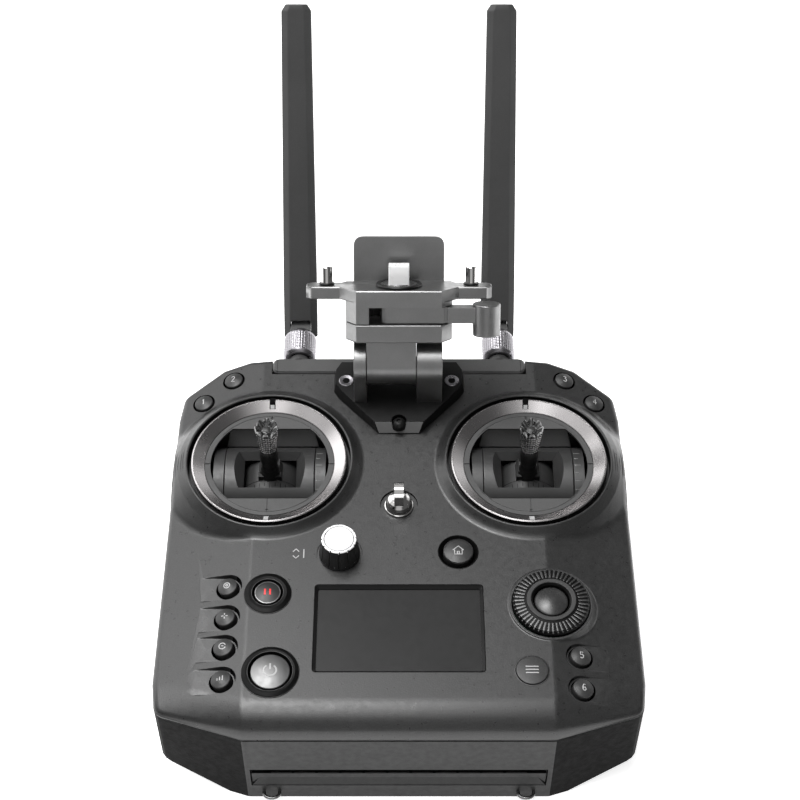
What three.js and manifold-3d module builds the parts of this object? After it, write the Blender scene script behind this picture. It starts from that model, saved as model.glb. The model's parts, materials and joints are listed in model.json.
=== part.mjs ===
// Two-stick hand-held transmitter for a camera drone, with folding antennas and a tilting monitor bracket.
// Units are millimetres. +X is the user's right, +Y points away from the user, towards the antennas, and
// +Z is square to the front panel. The transmitter lies on its back, and the origin is on the back face,
// straight below the midpoint between the two sticks.
import * as THREE from "three";
import { mergeVertices } from "three/addons/utils/BufferGeometryUtils.js";
import Module from "manifold-3d";

const wasm = await Module();
wasm.setup();

// ---------------------------------------------------------------- driving dimensions
const GAP = 0.3; // clearance between pieces that touch or nest
const WALL = 3; // casing wall

// Casing. Heights are measured from the flat of the front panel, so they are negative inside the body.
const HALF_WIDTH = 118.5;
const FRONT_Y = -155.6;
const BACK_Y = 72;
const DEPTH = 68; // panel to back face
const SEAM_Z = -13;
const CREASE_X = 74; // where the panel breaks into its sloped sides
const SIDE_SLOPE = 12; // degrees
const CORNER_RADIUS = 7;
const CASING_CORNERS = [
  [74, FRONT_Y],
  [116.5, -142.3],
  [HALF_WIDTH, -126],
  [HALF_WIDTH, 37],
  [116.6, 52.2],
  [96, 68.3],
  [81.5, BACK_Y],
];
// The panel rolls down to the seam along its front edge in three facets: [y, z] of each upper edge.
const ROLL = [
  [-140, 0],
  [-147, -1.9],
  [-152.2, -5.6],
  [FRONT_Y, SEAM_Z],
];
const BACK_FLAT_X = 83.5; // half width of the flat back face
const BACK_SIDE_RISE = 26; // degrees, underside of the sloped rear flanks

// Sticks
const STICK_X = 67.5;
const BOSS_TOP = 4;
const RING_SIDES = 40;
const BEZEL_R = 40.4;
const BEZEL_INNER_R = 33.9;
const PLATE_OPENING_R = 30.8;
const PLATE_OPENING_Y = 23;
const PIVOT_Z = -25.4;
const DRUM_R = 23.8;
const DRUM_HALF = 23.4;
const WINDOW_X = 18.7;
const WINDOW_Y = 13.2;
const CRADLE_R = 17;
const CAP_Z = 13.8;
const CAP_HEIGHT = 17;
const CAP_R = 5.7;

// Screen
const SCREEN = { x: 41.6, y0: -125.9, y1: -75.7 };

// Round controls, as x, y and radius
const TILT_DIAL = { x: -29.7, y: -57.3, r: 10.5, top: 8.6, height: 13.2 };
const HOME = { x: 29.7, y: -56.3, r: 7.6 };
const PAUSE = { x: -64.5, y: -81.2, r: 6.5, bezel: 11.6 };
const POWER = { x: -61.2, y: -125.8, r: 9.5, bezel: 13.8 };
const MENU = { x: 63.4, y: -124.9, r: 7.7 };
const JOG = { x: 74.4, y: -87.4, r: 18.6, hole: 8.6, pad: 7.6 };
const LUG = { x: 0, y: -26.9, recess: 9.5, dome: 7.6 };
const CAMERA_KEYS = { x: -84.7, ys: [-75.9, -93.7, -110.8, -128.6], r: 5.5 };
const FUNCTION_KEYS = [
  [-105.5, 45.9],
  [-89.9, 59.2],
  [89.9, 59.2],
  [105.5, 45.9],
  [87.4, -115.5],
  [87.4, -133.2],
];
const KEY_R = 5.6;
const KEY_TRAVEL_ROOM = 6;
const FUNCTION_KEY_FOOT = 3.9; // short, because the corner keys sit over the seam

// Antennas
const BAR = { x: 68.8, y0: 61.5, z0: -11, z1: 1.2 };
const ANTENNA_X = 54.8;
const ANTENNA_Z = -4.6;
const NUT = { y0: 75, y1: 92.7, r: 9 };
const BLADE = { y: 99.2, length: 177, base: 9.25, tip: 7.95, thick: 4.6, rise: 55.1 };

// Monitor bracket
const PLATE_TOP = 7.3;
const HINGE = { y: 47, z: 26, r: 11.9, pin: 3, lean: -34 };
const CHEEKS = [
  [-23.7, -17.1],
  [9.3, 22.7],
];
const STACK = { front: -14, back: 12, low: 13.9, split: 23.4, slot: 32.6, wing: 35, top: 41.4 };
const PIN_X = 37.6;
const LEVER = { hub: 9.2, front: -12, knobX: 45.4, knobY: -8, knobR: 7.2 };

// Rear fittings
const BATTERY = { x: 42, y0: -125.7, y1: -34.7, z0: -66.8, z1: -44.2, travel: 10 };
const RELEASE = { x: 9, y0: -28.5, y1: -22.5, z1: -60 };
const GROOVE = { x: 72, depth: 2.6, z0: -56.4, z1: -40.6 }; // across the lower face
const SHOULDER_Z = -33;
const SHOULDER_R = 11;

// ---------------------------------------------------------------- solids
const rad = THREE.MathUtils.degToRad;

/** A closed geometry as a solid, after an optional move and turn. */
function solid(geometry, at = [0, 0, 0], turn = [0, 0, 0]) {
  const pose = new THREE.Matrix4().compose(
    new THREE.Vector3(...at),
    new THREE.Quaternion().setFromEuler(new THREE.Euler(...turn.map(rad))),
    new THREE.Vector3(1, 1, 1),
  );
  const bare = geometry.clone().applyMatrix4(pose);
  bare.deleteAttribute("normal");
  bare.deleteAttribute("uv");
  const merged = mergeVertices(bare, 1e-4);
  return new wasm.Manifold(
    new wasm.Mesh({
      numProp: 3,
      vertProperties: merged.attributes.position.array,
      triVerts: new Uint32Array(merged.index.array),
    }),
  );
}

function geometryOf(body) {
  const mesh = body.getMesh();
  const geometry = new THREE.BufferGeometry();
  geometry.setAttribute("position", new THREE.BufferAttribute(mesh.vertProperties, 3));
  geometry.setIndex(new THREE.BufferAttribute(mesh.triVerts, 1));
  geometry.computeVertexNormals();
  return geometry;
}

const join = (first, ...rest) => rest.reduce((sum, next) => sum.add(next), first);
const cut = (first, ...rest) => rest.reduce((left, next) => left.subtract(next), first);

function block([x0, x1], [y0, y1], [z0, z1]) {
  const geometry = new THREE.BoxGeometry(x1 - x0, y1 - y0, z1 - z0);
  return solid(geometry, [(x0 + x1) / 2, (y0 + y1) / 2, (z0 + z1) / 2]);
}

/** A round bar standing on z0. */
function post(x, y, z0, z1, radius, topRadius = radius, sides = 24) {
  const geometry = new THREE.CylinderGeometry(topRadius, radius, z1 - z0, sides);
  return solid(geometry, [x, y, (z0 + z1) / 2], [90, 0, 0]);
}

/** A round bar along X from x0 to x1. */
function barX(x0, x1, y, z, radius, sides = 24) {
  const geometry = new THREE.CylinderGeometry(radius, radius, x1 - x0, sides);
  return solid(geometry, [(x0 + x1) / 2, y, z], [0, 0, 90]);
}

/** A round bar along Y from y0 to y1, with its own radius at each end. */
function barY(x, y0, y1, z, radius, endRadius = radius, sides = 24) {
  const geometry = new THREE.CylinderGeometry(endRadius, radius, y1 - y0, sides);
  return solid(geometry, [x, (y0 + y1) / 2, z]);
}

/** A body of revolution about Z, from [radius, z] points that start and end on the axis. */
function turned(profile, at = [0, 0, 0], sides = 24) {
  const points = profile.map(([r, z]) => new THREE.Vector2(r, z));
  return solid(new THREE.LatheGeometry(points, sides), at, [90, 0, 0]);
}

/** A ring of revolution about Z, from [radius, z] points, closed on itself. */
const ring = (profile, at, sides) => turned([...profile, profile[0]], at, sides);

function shapeOf(points) {
  return new THREE.Shape(points.map(([x, y]) => new THREE.Vector2(x, y)));
}

function prism(points, z0, z1, bevel = 0) {
  const geometry = new THREE.ExtrudeGeometry(shapeOf(points), {
    depth: z1 - z0 - 2 * bevel,
    bevelEnabled: bevel > 0,
    bevelThickness: bevel,
    bevelSize: bevel,
    bevelOffset: -bevel,
    bevelSegments: 1,
    steps: 1,
  });
  return solid(geometry, [0, 0, z0 + bevel]);
}

/** A convex outline with its edges moved inwards by distance. */
function inset(points, distance) {
  return points.map((point, i) => {
    const before = points[(i + points.length - 1) % points.length];
    const after = points[(i + 1) % points.length];
    const into = new THREE.Vector2(point[0] - before[0], point[1] - before[1]).normalize();
    const out = new THREE.Vector2(after[0] - point[0], after[1] - point[1]).normalize();
    const bisector = new THREE.Vector2(-into.y - out.y, into.x + out.x).normalize();
    const reach = distance / bisector.dot(new THREE.Vector2(-into.y, into.x));
    return [point[0] + bisector.x * reach, point[1] + bisector.y * reach];
  });
}

/** The same outline with every corner rounded by a short arc. */
function rounded(points, radius, steps = 3) {
  return points.flatMap((point, i) => {
    const corner = new THREE.Vector2(...point);
    const before = new THREE.Vector2(...points[(i + points.length - 1) % points.length]).sub(corner);
    const after = new THREE.Vector2(...points[(i + 1) % points.length]).sub(corner);
    const half = before.angleTo(after) / 2;
    const run = Math.min(radius / Math.tan(half), before.length() * 0.45, after.length() * 0.45);
    const start = corner.clone().add(before.setLength(run));
    const end = corner.clone().add(after.setLength(run));
    return Array.from({ length: steps + 1 }, (_, k) => {
      const t = k / steps;
      const x = (1 - t) ** 2 * start.x + 2 * t * (1 - t) * corner.x + t ** 2 * end.x;
      const y = (1 - t) ** 2 * start.y + 2 * t * (1 - t) * corner.y + t ** 2 * end.y;
      return [x, y];
    });
  });
}

/** Everything on the outer side of a plane, as a block large enough to trim the casing. */
function beyond(point, normal) {
  const reach = 500;
  const geometry = new THREE.BoxGeometry(reach, reach, reach);
  geometry.translate(0, 0, reach / 2);
  const turn = new THREE.Quaternion().setFromUnitVectors(
    new THREE.Vector3(0, 0, 1),
    new THREE.Vector3(...normal).normalize(),
  );
  geometry.applyQuaternion(turn);
  return solid(geometry, point);
}

const mirrored = (points) => [...points, ...points.toReversed().map(([x, y]) => [-x, y])];
const rectangle = (x0, x1, y0, y1) => [
  [x0, y0],
  [x1, y0],
  [x1, y1],
  [x0, y1],
];

// ---------------------------------------------------------------- materials and placing
const COLOURS = {
  casing: [0x3a3b3d, 0.62, 0.0],
  darkPlastic: [0x232325, 0.5, 0.0],
  gimbalPlate: [0x55565a, 0.6, 0.0],
  gunmetal: [0x8e8a88, 0.28, 1.0],
  chrome: [0xd8d8da, 0.12, 1.0],
  anodised: [0x5c5d60, 0.42, 0.7],
  key: [0x4c4d50, 0.4, 0.1],
  glass: [0x3a3c40, 0.1, 0.0],
  rubber: [0x1c1c1e, 0.8, 0.0],
  board: [0x0f5132, 0.6, 0.0],
};

function material(name) {
  const [color, roughness, metalness] = COLOURS[name];
  return new THREE.MeshStandardMaterial({ color, roughness, metalness });
}

function place(group, name, body, finish, at = [0, 0, 0], turn = [0, 0, 0]) {
  const mesh = new THREE.Mesh(geometryOf(body), material(finish));
  mesh.name = name;
  mesh.position.set(...at);
  mesh.rotation.set(...turn.map(rad));
  group.add(mesh);
}

const transmitter = new THREE.Group();
transmitter.position.z = DEPTH;

const SIDES = [
  ["left", -1],
  ["right", 1],
];

// ---------------------------------------------------------------- casing
const casingOutline = mirrored(CASING_CORNERS);
const casingPrism = (inward, z0, z1) =>
  prism(rounded(inset(casingOutline, inward), CORNER_RADIUS - inward / 2), z0, z1);

/** Height of the panel surface over a point, outside the stick bosses. */
function panelHeight(x) {
  return -Math.max(0, Math.abs(x) - CREASE_X) * Math.tan(rad(SIDE_SLOPE));
}

/** The casing's front form from z0 up, with all its surfaces lowered by drop and moved in by drop. */
function frontForm(z0, drop) {
  const slope = rad(SIDE_SLOPE);
  const flanks = SIDES.map(([, side]) =>
    beyond([side * CREASE_X, 0, -drop / Math.cos(slope)], [side * Math.sin(slope), 0, Math.cos(slope)]),
  );
  const roll = ROLL.slice(1).map(([y, z], i) => {
    const [upperY, upperZ] = ROLL[i];
    const fall = new THREE.Vector2(upperY - y, upperZ - z).normalize();
    return beyond([0, y + drop * fall.y, z - drop * fall.x], [0, -fall.y, fall.x]);
  });
  return cut(casingPrism(drop, z0, -drop), ...flanks, ...roll);
}

/** A hole square to the panel at a point. */
const panelHole = (x, y, radius, sides = 20) => post(x, y, -WALL - 20, BOSS_TOP + 20, radius, radius, sides);

function slopedHole(x, y, radius) {
  const side = Math.sign(x);
  const geometry = new THREE.CylinderGeometry(radius, radius, 30, 16);
  geometry.rotateX(Math.PI / 2);
  return solid(geometry, [x, y, panelHeight(x)], [0, side * SIDE_SLOPE, 0]);
}

const bossProfile = [
  [0, -9],
  [54, -9],
  [47.5, 0],
  [43.8, BOSS_TOP],
  [0, BOSS_TOP],
];

function frontShell() {
  const boundary = casingPrism(0, SEAM_Z + GAP / 2, BOSS_TOP + 10);
  let shell = frontForm(SEAM_Z + GAP / 2, 0);
  for (const [, side] of SIDES) {
    shell = shell.add(turned(bossProfile, [side * STICK_X, 0, 0], RING_SIDES).intersect(boundary));
  }
  const jogBoss = post(JOG.x, JOG.y, -9, 0.4, 23.5, 20.6, 28);
  shell = shell.add(jogBoss);
  shell = shell.subtract(frontForm(SEAM_Z - 5, WALL));
  for (const [, side] of SIDES) {
    shell = shell.add(post(side * STICK_X, 0, -9, BOSS_TOP - 1, 43.4, 43.4, RING_SIDES).intersect(boundary));
  }
  const cuts = [
    ...SIDES.map(([, side]) => post(side * STICK_X, 0, -3.4, BOSS_TOP + 1, 42.3, 42.3, RING_SIDES)),
    ...SIDES.map(([, side]) => post(side * STICK_X, 0, -20, BOSS_TOP + 1, 37, 37, RING_SIDES)),
    prism(rounded(rectangle(-SCREEN.x, SCREEN.x, SCREEN.y0, SCREEN.y1), 2, 2), -20, 5),
    panelHole(TILT_DIAL.x, TILT_DIAL.y, 3.6, 16),
    panelHole(HOME.x, HOME.y, HOME.r + 0.4),
    panelHole(PAUSE.x, PAUSE.y, 8),
    panelHole(POWER.x, POWER.y, 11),
    panelHole(MENU.x, MENU.y, MENU.r + 0.4),
    panelHole(JOG.x, JOG.y, JOG.hole + 2),
    panelHole(LUG.x, LUG.y, 3.6, 16),
    post(LUG.x, LUG.y, -1.2, 5, LUG.recess, LUG.recess, 20),
    ...CAMERA_KEYS.ys.map((y) => slopedHole(CAMERA_KEYS.x, y, CAMERA_KEYS.r + 0.4)),
    ...FUNCTION_KEYS.map(([x, y]) => slopedHole(x, y, KEY_R + 0.4)),
    block([-BAR.x - GAP, BAR.x + GAP], [BAR.y0 - GAP, BACK_Y + 5], [BAR.z0 - GAP, 20]),
  ];
  return cut(shell, ...cuts);
}

function rearFlank(side, drop) {
  const rise = rad(BACK_SIDE_RISE);
  const edge = [side * BACK_FLAT_X, 0, -DEPTH + drop / Math.cos(rise)];
  return beyond(edge, [side * Math.sin(rise), 0, -Math.cos(rise)]);
}

const shoulderAxis = (side) => [side * 102.5, 55.4];

function rearShell() {
  const top = SEAM_Z - GAP / 2;
  const room = 0.4; // around the battery and its release
  const bayX = BATTERY.x + room;
  const bayY = [BATTERY.y0 - BATTERY.travel - room, BATTERY.y1 + room];
  const releaseX = RELEASE.x + room;
  let shell = cut(casingPrism(0, -DEPTH, top), rearFlank(1, 0), rearFlank(-1, 0));
  const hollow = cut(casingPrism(WALL, -DEPTH + WALL, top + 5), rearFlank(1, WALL), rearFlank(-1, WALL));
  shell = shell.subtract(hollow);
  shell = join(
    shell,
    block([-bayX - WALL, bayX + WALL], [bayY[0] - WALL, bayY[1] + WALL], [-DEPTH + 1, BATTERY.z1 + WALL]),
    block([-releaseX - WALL, releaseX + WALL], [bayY[1], RELEASE.y1 + WALL], [-DEPTH + 1, RELEASE.z1 + WALL]),
  );
  const cuts = [
    block([-bayX, bayX], bayY, [-DEPTH - 1, BATTERY.z1 + room]),
    block([-releaseX, releaseX], [RELEASE.y0 - room, RELEASE.y1 + room], [-DEPTH - 1, RELEASE.z1]),
    block([-GROOVE.x, GROOVE.x], [FRONT_Y - 5, FRONT_Y + GROOVE.depth], [GROOVE.z0, GROOVE.z1]),
  ];
  for (const [, side] of SIDES) {
    const [x, y] = shoulderAxis(side);
    cuts.push(post(x, y, SHOULDER_Z - 4.6, SHOULDER_Z + 4.6, SHOULDER_R + 0.8, SHOULDER_R + 0.8, 24));
    cuts.push(barY(side * 68, BACK_Y - 8, BACK_Y + 5, SHOULDER_Z, 6.4, 6.4, 24));
  }
  return cut(shell, ...cuts);
}

place(transmitter, "front_shell", frontShell(), "casing");
place(transmitter, "rear_shell", rearShell(), "casing");

// The strip across the lower face, set into its groove.
const trimOutline = [
  [-66, -55.8],
  [66, -55.8],
  [62, -45.2],
  [-62, -45.2],
];
const trimBack = [0, FRONT_Y + GROOVE.depth - GAP, 0];
place(transmitter, "lower_trim", prism(trimOutline, 0, 1.6), "darkPlastic", trimBack, [90, 0, 0]);

/** A steel loop for the carrying strap: a bent round bar with both ends in the casing. */
function strapLoop() {
  const path = new THREE.CatmullRomCurve3(
    [
      [-3, 0],
      [-3, -1.6],
      [-2.4, -3.4],
      [0, -4.6],
      [2.4, -3.4],
      [3, -1.6],
      [3, 0],
    ].map(([x, y]) => new THREE.Vector3(x, y, 0)),
  );
  const section = new THREE.Shape().absarc(0, 0, 0.9, 0, 2 * Math.PI);
  const geometry = new THREE.ExtrudeGeometry(section, {
    steps: 12,
    curveSegments: 4,
    bevelEnabled: false,
    extrudePath: path,
  });
  return solid(geometry);
}
for (const [name, side] of SIDES) {
  place(transmitter, `${name}_strap_loop`, strapLoop(), "chrome", [side * 62.4, FRONT_Y - GAP, -62.5]);
}

// ---------------------------------------------------------------- sticks
function gimbalPlate() {
  const face = post(0, 0, -1.2, 0.1, BEZEL_INNER_R - 0.3, BEZEL_INNER_R - 0.3, RING_SIDES);
  const flange = post(0, 0, -3.1, -1.1, 41, 41, RING_SIDES);
  const opening = post(0, 0, -5, 2, PLATE_OPENING_R, PLATE_OPENING_R, RING_SIDES);
  const band = block([-50, 50], [-PLATE_OPENING_Y, PLATE_OPENING_Y], [-6, 3]);
  return cut(join(face, flange), opening.intersect(band));
}

const bezelProfile = [
  [BEZEL_INNER_R, -0.8],
  [BEZEL_R, -0.8],
  [BEZEL_R, BOSS_TOP - 0.5],
  [BEZEL_R - 0.9, BOSS_TOP],
  [BEZEL_INNER_R, 0.4],
];

/** The fixed cage of a gimbal: a floor, two curtain walls and two drum-shaped bearing posts. */
function gimbalFrame() {
  const floorZ = PIVOT_Z - 22;
  const postInner = DRUM_HALF + GAP;
  const postOuter = 29.3;
  let frame = block([-33, 33], [-28, 28], [floorZ - 3, floorZ]);
  for (const [, side] of SIDES) {
    const inner = side * postInner;
    const outer = side * postOuter;
    const span = [Math.min(inner, outer), Math.max(inner, outer)];
    const drum = barX(span[0], span[1], 0, PIVOT_Z, DRUM_R, 32);
    const foot = block(span, [-12, 12], [floorZ - 1, PIVOT_Z]);
    frame = join(frame, drum, foot);
    frame = frame.add(block([-33, 33], side > 0 ? [25.6, 28] : [-28, -25.6], [floorZ - 1, -9.6]));
  }
  const bores = SIDES.map(([, side]) => {
    const ends = [side * (postInner - 1), side * (postInner + 4.6)];
    return barX(Math.min(...ends), Math.max(...ends), 0, PIVOT_Z, 3.3, 16);
  });
  const underside = block([-40, 40], [-40, 40], [floorZ - 30, floorZ - 3]);
  return cut(frame, underside, ...bores);
}

/** The outer drum, with the window that the inner drum swings in. */
function gimbalYoke() {
  const drum = barX(-DRUM_HALF, DRUM_HALF, 0, 0, DRUM_R, 32);
  const pins = barX(-DRUM_HALF - 4, DRUM_HALF + 4, 0, 0, 3, 16);
  const window = block([-WINDOW_X, WINDOW_X], [-WINDOW_Y, WINDOW_Y], [-30, 30]);
  const underside = block([-40, 40], [-40, 40], [-40, -11]);
  const bores = barY(0, -17.6, 17.6, 0, 2.8, 2.8, 16);
  return cut(join(drum, pins), window, underside, bores);
}

/** The inner drum with its flange, tapered shaft and the thread that carries the cap. */
function stick() {
  const drum = barY(0, -WINDOW_Y + 0.4, WINDOW_Y - 0.4, 0, CRADLE_R, CRADLE_R, 28);
  const pins = barY(0, -17, 17, 0, 2.5, 2.5, 16);
  const flange = block([-5.7, 5.7], [-4, 4], [CRADLE_R - 2, CRADLE_R + 2]);
  const shaft = post(0, 0, CRADLE_R - 2, CAP_Z - PIVOT_Z - GAP, 4.6, 3.8, 16);
  const thread = post(0, 0, CRADLE_R, CAP_Z - PIVOT_Z + 10, 2, 2, 12);
  const underside = block([-40, 40], [-40, 40], [-40, -8]);
  return cut(join(drum, pins, flange, shaft, thread), underside);
}

function stickCap() {
  const top = CAP_HEIGHT;
  let cap = turned(
    [
      [0, 0],
      [CAP_R - 1, 0],
      [CAP_R - 0.4, 0.8],
      [CAP_R - 0.4, 3.4],
      [CAP_R - 0.9, 4.4],
      [CAP_R - 0.5, 11],
      [CAP_R + 0.3, top - 1.6],
      [CAP_R - 0.6, top],
      [3.2, top],
      [2.2, top - 1.8],
      [0, top - 1.8],
    ],
    [0, 0, 0],
    16,
  );
  cap = cap.subtract(post(0, 0, -1, 11, 2.3, 2.3, 12));
  for (let k = 0; k < 4; k += 1) {
    const notch = new THREE.BoxGeometry(3 * CAP_R, 1.3, 1.3);
    notch.rotateX(Math.PI / 4);
    cap = cap.subtract(solid(notch, [0, 0, top], [0, 0, 45 * k + 22.5]));
  }
  return cap;
}

for (const [name, side] of SIDES) {
  const gimbal = new THREE.Group();
  gimbal.position.set(side * STICK_X, 0, 0);
  transmitter.add(gimbal);
  place(gimbal, `${name}_stick_bezel`, ring(bezelProfile, [0, 0, 0], RING_SIDES), "gunmetal");
  place(gimbal, `${name}_gimbal_plate`, gimbalPlate(), "gimbalPlate");
  place(gimbal, `${name}_gimbal_frame`, gimbalFrame(), "darkPlastic");
  place(gimbal, `${name}_gimbal_yoke`, gimbalYoke(), "darkPlastic", [0, 0, PIVOT_Z]);
  place(gimbal, `${name}_stick`, stick(), "darkPlastic", [0, 0, PIVOT_Z]);
  place(gimbal, `${name}_stick_cap`, stickCap(), "chrome", [0, 0, CAP_Z]);
}

// ---------------------------------------------------------------- screen and board
const screenY = (SCREEN.y0 + SCREEN.y1) / 2;
const screenHalf = (SCREEN.y1 - SCREEN.y0) / 2;
const glassOutline = rectangle(-SCREEN.x + 0.4, SCREEN.x - 0.4, -screenHalf + 0.4, screenHalf - 0.4);
const glass = prism(rounded(glassOutline, 1.6, 2), -3.1, -1.7);
place(transmitter, "screen_glass", glass, "glass", [0, screenY, 0]);
const moduleOutline = rectangle(-SCREEN.x - 2.4, SCREEN.x + 2.4, -screenHalf - 2, screenHalf + 2);
place(transmitter, "screen_module", prism(moduleOutline, -10, -3.5), "darkPlastic", [0, screenY, 0]);

const boardOutline = mirrored([
  [72, -140],
  [80, -132],
  [80, -40],
  [30, -34],
  [30, 50],
]);
place(transmitter, "main_board", prism(boardOutline, -22, -20.4), "board");

// ---------------------------------------------------------------- buttons and dials
/** A push button with a domed face, standing proud of the surface at z = 0, and a retaining foot. */
function buttonBody(radius, proud, foot = KEY_TRAVEL_ROOM) {
  return turned(
    [
      [0, -foot],
      [radius, -foot],
      [radius, proud - 0.7],
      [radius - 0.6, proud],
      [radius * 0.55, proud + 0.5],
      [0, proud + 0.7],
    ],
    [0, 0, 0],
    20,
  );
}

/** A raised ring round a button, with a sleeve that goes down through the casing. */
function buttonBezel(outer, inner, sleeve) {
  return ring(
    [
      [inner, -WALL - 1],
      [sleeve, -WALL - 1],
      [sleeve, 0.3],
      [outer, 0.3],
      [outer, 1],
      [outer - 1, 1.7],
      [inner + 1.6, 1.7],
      [inner, 0.5],
    ],
    [0, 0, 0],
    28,
  );
}

place(transmitter, "home_button", buttonBody(HOME.r, 0.9), "key", [HOME.x, HOME.y, 0]);
for (const [name, button] of [
  ["pause", PAUSE],
  ["power", POWER],
]) {
  const at = [button.x, button.y, 0];
  const bezel = buttonBezel(button.bezel, button.r + 0.4, button.r + 1.2);
  place(transmitter, `${name}_button`, buttonBody(button.r, 1.1), "key", at);
  place(transmitter, `${name}_bezel`, bezel, "darkPlastic", at);
}
place(transmitter, "menu_button", buttonBody(MENU.r, 0.9), "key", [MENU.x, MENU.y, 0]);

CAMERA_KEYS.ys.forEach((y, i) => {
  const at = [CAMERA_KEYS.x, y, panelHeight(CAMERA_KEYS.x)];
  place(transmitter, `camera_key_${i + 1}`, buttonBody(CAMERA_KEYS.r, 0.8), "key", at, [0, -SIDE_SLOPE, 0]);
});
FUNCTION_KEYS.forEach(([x, y], i) => {
  const at = [x, y, panelHeight(x)];
  const lean = [0, Math.sign(x) * SIDE_SLOPE, 0];
  place(transmitter, `function_key_${i + 1}`, buttonBody(KEY_R, 0.9, FUNCTION_KEY_FOOT), "key", at, lean);
});

const tiltDial = turned([
  [0, -9],
  [3, -9],
  [3, GAP],
  [TILT_DIAL.r, GAP],
  [TILT_DIAL.r, 3],
  [TILT_DIAL.top + 0.3, TILT_DIAL.height - 0.8],
  [TILT_DIAL.top - 0.5, TILT_DIAL.height],
  [0, TILT_DIAL.height],
]);
place(transmitter, "tilt_dial", tiltDial, "darkPlastic", [TILT_DIAL.x, TILT_DIAL.y, 0]);

const jogWheel = ring(
  [
    [JOG.hole, -3.4],
    [JOG.hole + 1.5, -3.4],
    [JOG.hole + 1.5, 0.8],
    [JOG.r, 0.8],
    [JOG.r, 3.2],
    [JOG.r - 1.6, 4.6],
    [12.4, 4.6],
    [11.2, 3.6],
    [JOG.hole, 3.2],
  ],
  [0, 0, 0],
  36,
);
place(transmitter, "jog_wheel", jogWheel, "rubber", [JOG.x, JOG.y, 0]);
place(transmitter, "jog_pad", buttonBody(JOG.pad, 3.6), "key", [JOG.x, JOG.y, 0]);

/** The eye that a neck strap clips to: a dome, an upright tab with a hole, and a stud through the panel. */
function strapLug() {
  const base = turned([
    [0, -8],
    [3, -8],
    [3, -1],
    [LUG.dome, -1],
    [LUG.dome, 0.6],
    [LUG.dome - 1.2, 2],
    [4.6, 3.2],
    [0, 3.6],
  ]);
  const tab = join(block([-2.5, 2.5], [-4.6, 4.6], [1, 9]), barX(-2.5, 2.5, 0, 9, 4.6, 20));
  return cut(join(base, tab), barX(-6, 6, 0, 8.6, 2.4, 12));
}
place(transmitter, "neck_strap_lug", strapLug(), "chrome", [LUG.x, LUG.y, 0]);

// ---------------------------------------------------------------- antennas
/** The rail along the back edge, with a cone and a threaded pipe for each antenna. */
function antennaBar() {
  const outline = rounded(rectangle(-BAR.x, BAR.x, BAR.y0, BACK_Y), 4, 3);
  const connectors = SIDES.flatMap(([, side]) => [
    barY(side * ANTENNA_X, BACK_Y - 1, NUT.y0 - GAP, ANTENNA_Z, 6.3, 5.6, 24),
    barY(side * ANTENNA_X, BACK_Y, NUT.y0 + 8, ANTENNA_Z, 4, 4, 20),
  ]);
  return join(prism(outline, BAR.z0, BAR.z1, 1), ...connectors);
}
place(transmitter, "antenna_bar", antennaBar(), "casing");

const nutProfile = [
  [4.4, 0],
  [7.6, 0],
  [NUT.r, 1.4],
  [NUT.r, NUT.y1 - NUT.y0 - 1.4],
  [7.8, NUT.y1 - NUT.y0],
  [4.4, NUT.y1 - NUT.y0],
];

/** The knuckle: a shank held by the nut, a collar, and the tongue that the blade folds on. */
function knuckle() {
  const shank = barY(0, NUT.y0 + 8.6 - BLADE.y, NUT.y1 - BLADE.y + 1, 0, 4, 4, 20);
  const collar = barY(0, NUT.y1 - BLADE.y + GAP, NUT.y1 - BLADE.y + 1.4, 0, 6.4, 5.6, 24);
  const tongue = block([-4.8, 4.8], [NUT.y1 - BLADE.y + 1, 0], [-4.4, 4.4]);
  return join(shank, collar, tongue, barX(-4.8, 4.8, 0, 0, 4.4, 24));
}

/** The blade along +Y from its pivot: a flat six-sided bar that narrows to the tip, forked at its foot. */
function blade() {
  const outline = mirrored([
    [BLADE.base, 0],
    [BLADE.base, 26],
    [BLADE.tip, BLADE.length - 4],
    [BLADE.tip - 2.6, BLADE.length],
  ]);
  const side = BLADE.base + 1;
  const edge = 2.6;
  let body = prism(outline, -BLADE.thick, BLADE.thick);
  for (const [, across] of SIDES) {
    for (const up of [-1, 1]) {
      const taper = (BLADE.base - BLADE.tip) / BLADE.length;
      const point = [across * (BLADE.base - edge), 0, up * BLADE.thick];
      body = body.subtract(beyond(point, [across * 0.62, taper, up * 0.78]));
    }
  }
  body = body.add(barX(-BLADE.base, BLADE.base, 0, 0, BLADE.thick, 24));
  const fork = block([-5.15, 5.15], [-8, 9], [-8, 8]);
  const foot = block([-side - 5, side + 5], [-20, -4.9], [-8, 8]);
  return cut(body, fork, foot);
}

for (const [name, side] of SIDES) {
  const foot = [side * ANTENNA_X, NUT.y0, ANTENNA_Z];
  const pivot = [side * ANTENNA_X, BLADE.y, ANTENNA_Z];
  const nut = ring(nutProfile, [0, 0, 0], 28);
  place(transmitter, `${name}_antenna_nut`, nut, "chrome", foot, [-90, 0, 0]);
  place(transmitter, `${name}_antenna_knuckle`, knuckle(), "anodised", pivot);
  place(transmitter, `${name}_antenna_blade`, blade(), "darkPlastic", pivot, [BLADE.rise, 0, 0]);
}

// ---------------------------------------------------------------- monitor bracket
const plateOutline = mirrored([
  [9, 19.5],
  [14.4, 24.5],
  [24, 35],
  [31.8, 44.2],
  [35, 49],
  [35, 58.4],
  [31.6, 64.4],
]);

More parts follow.
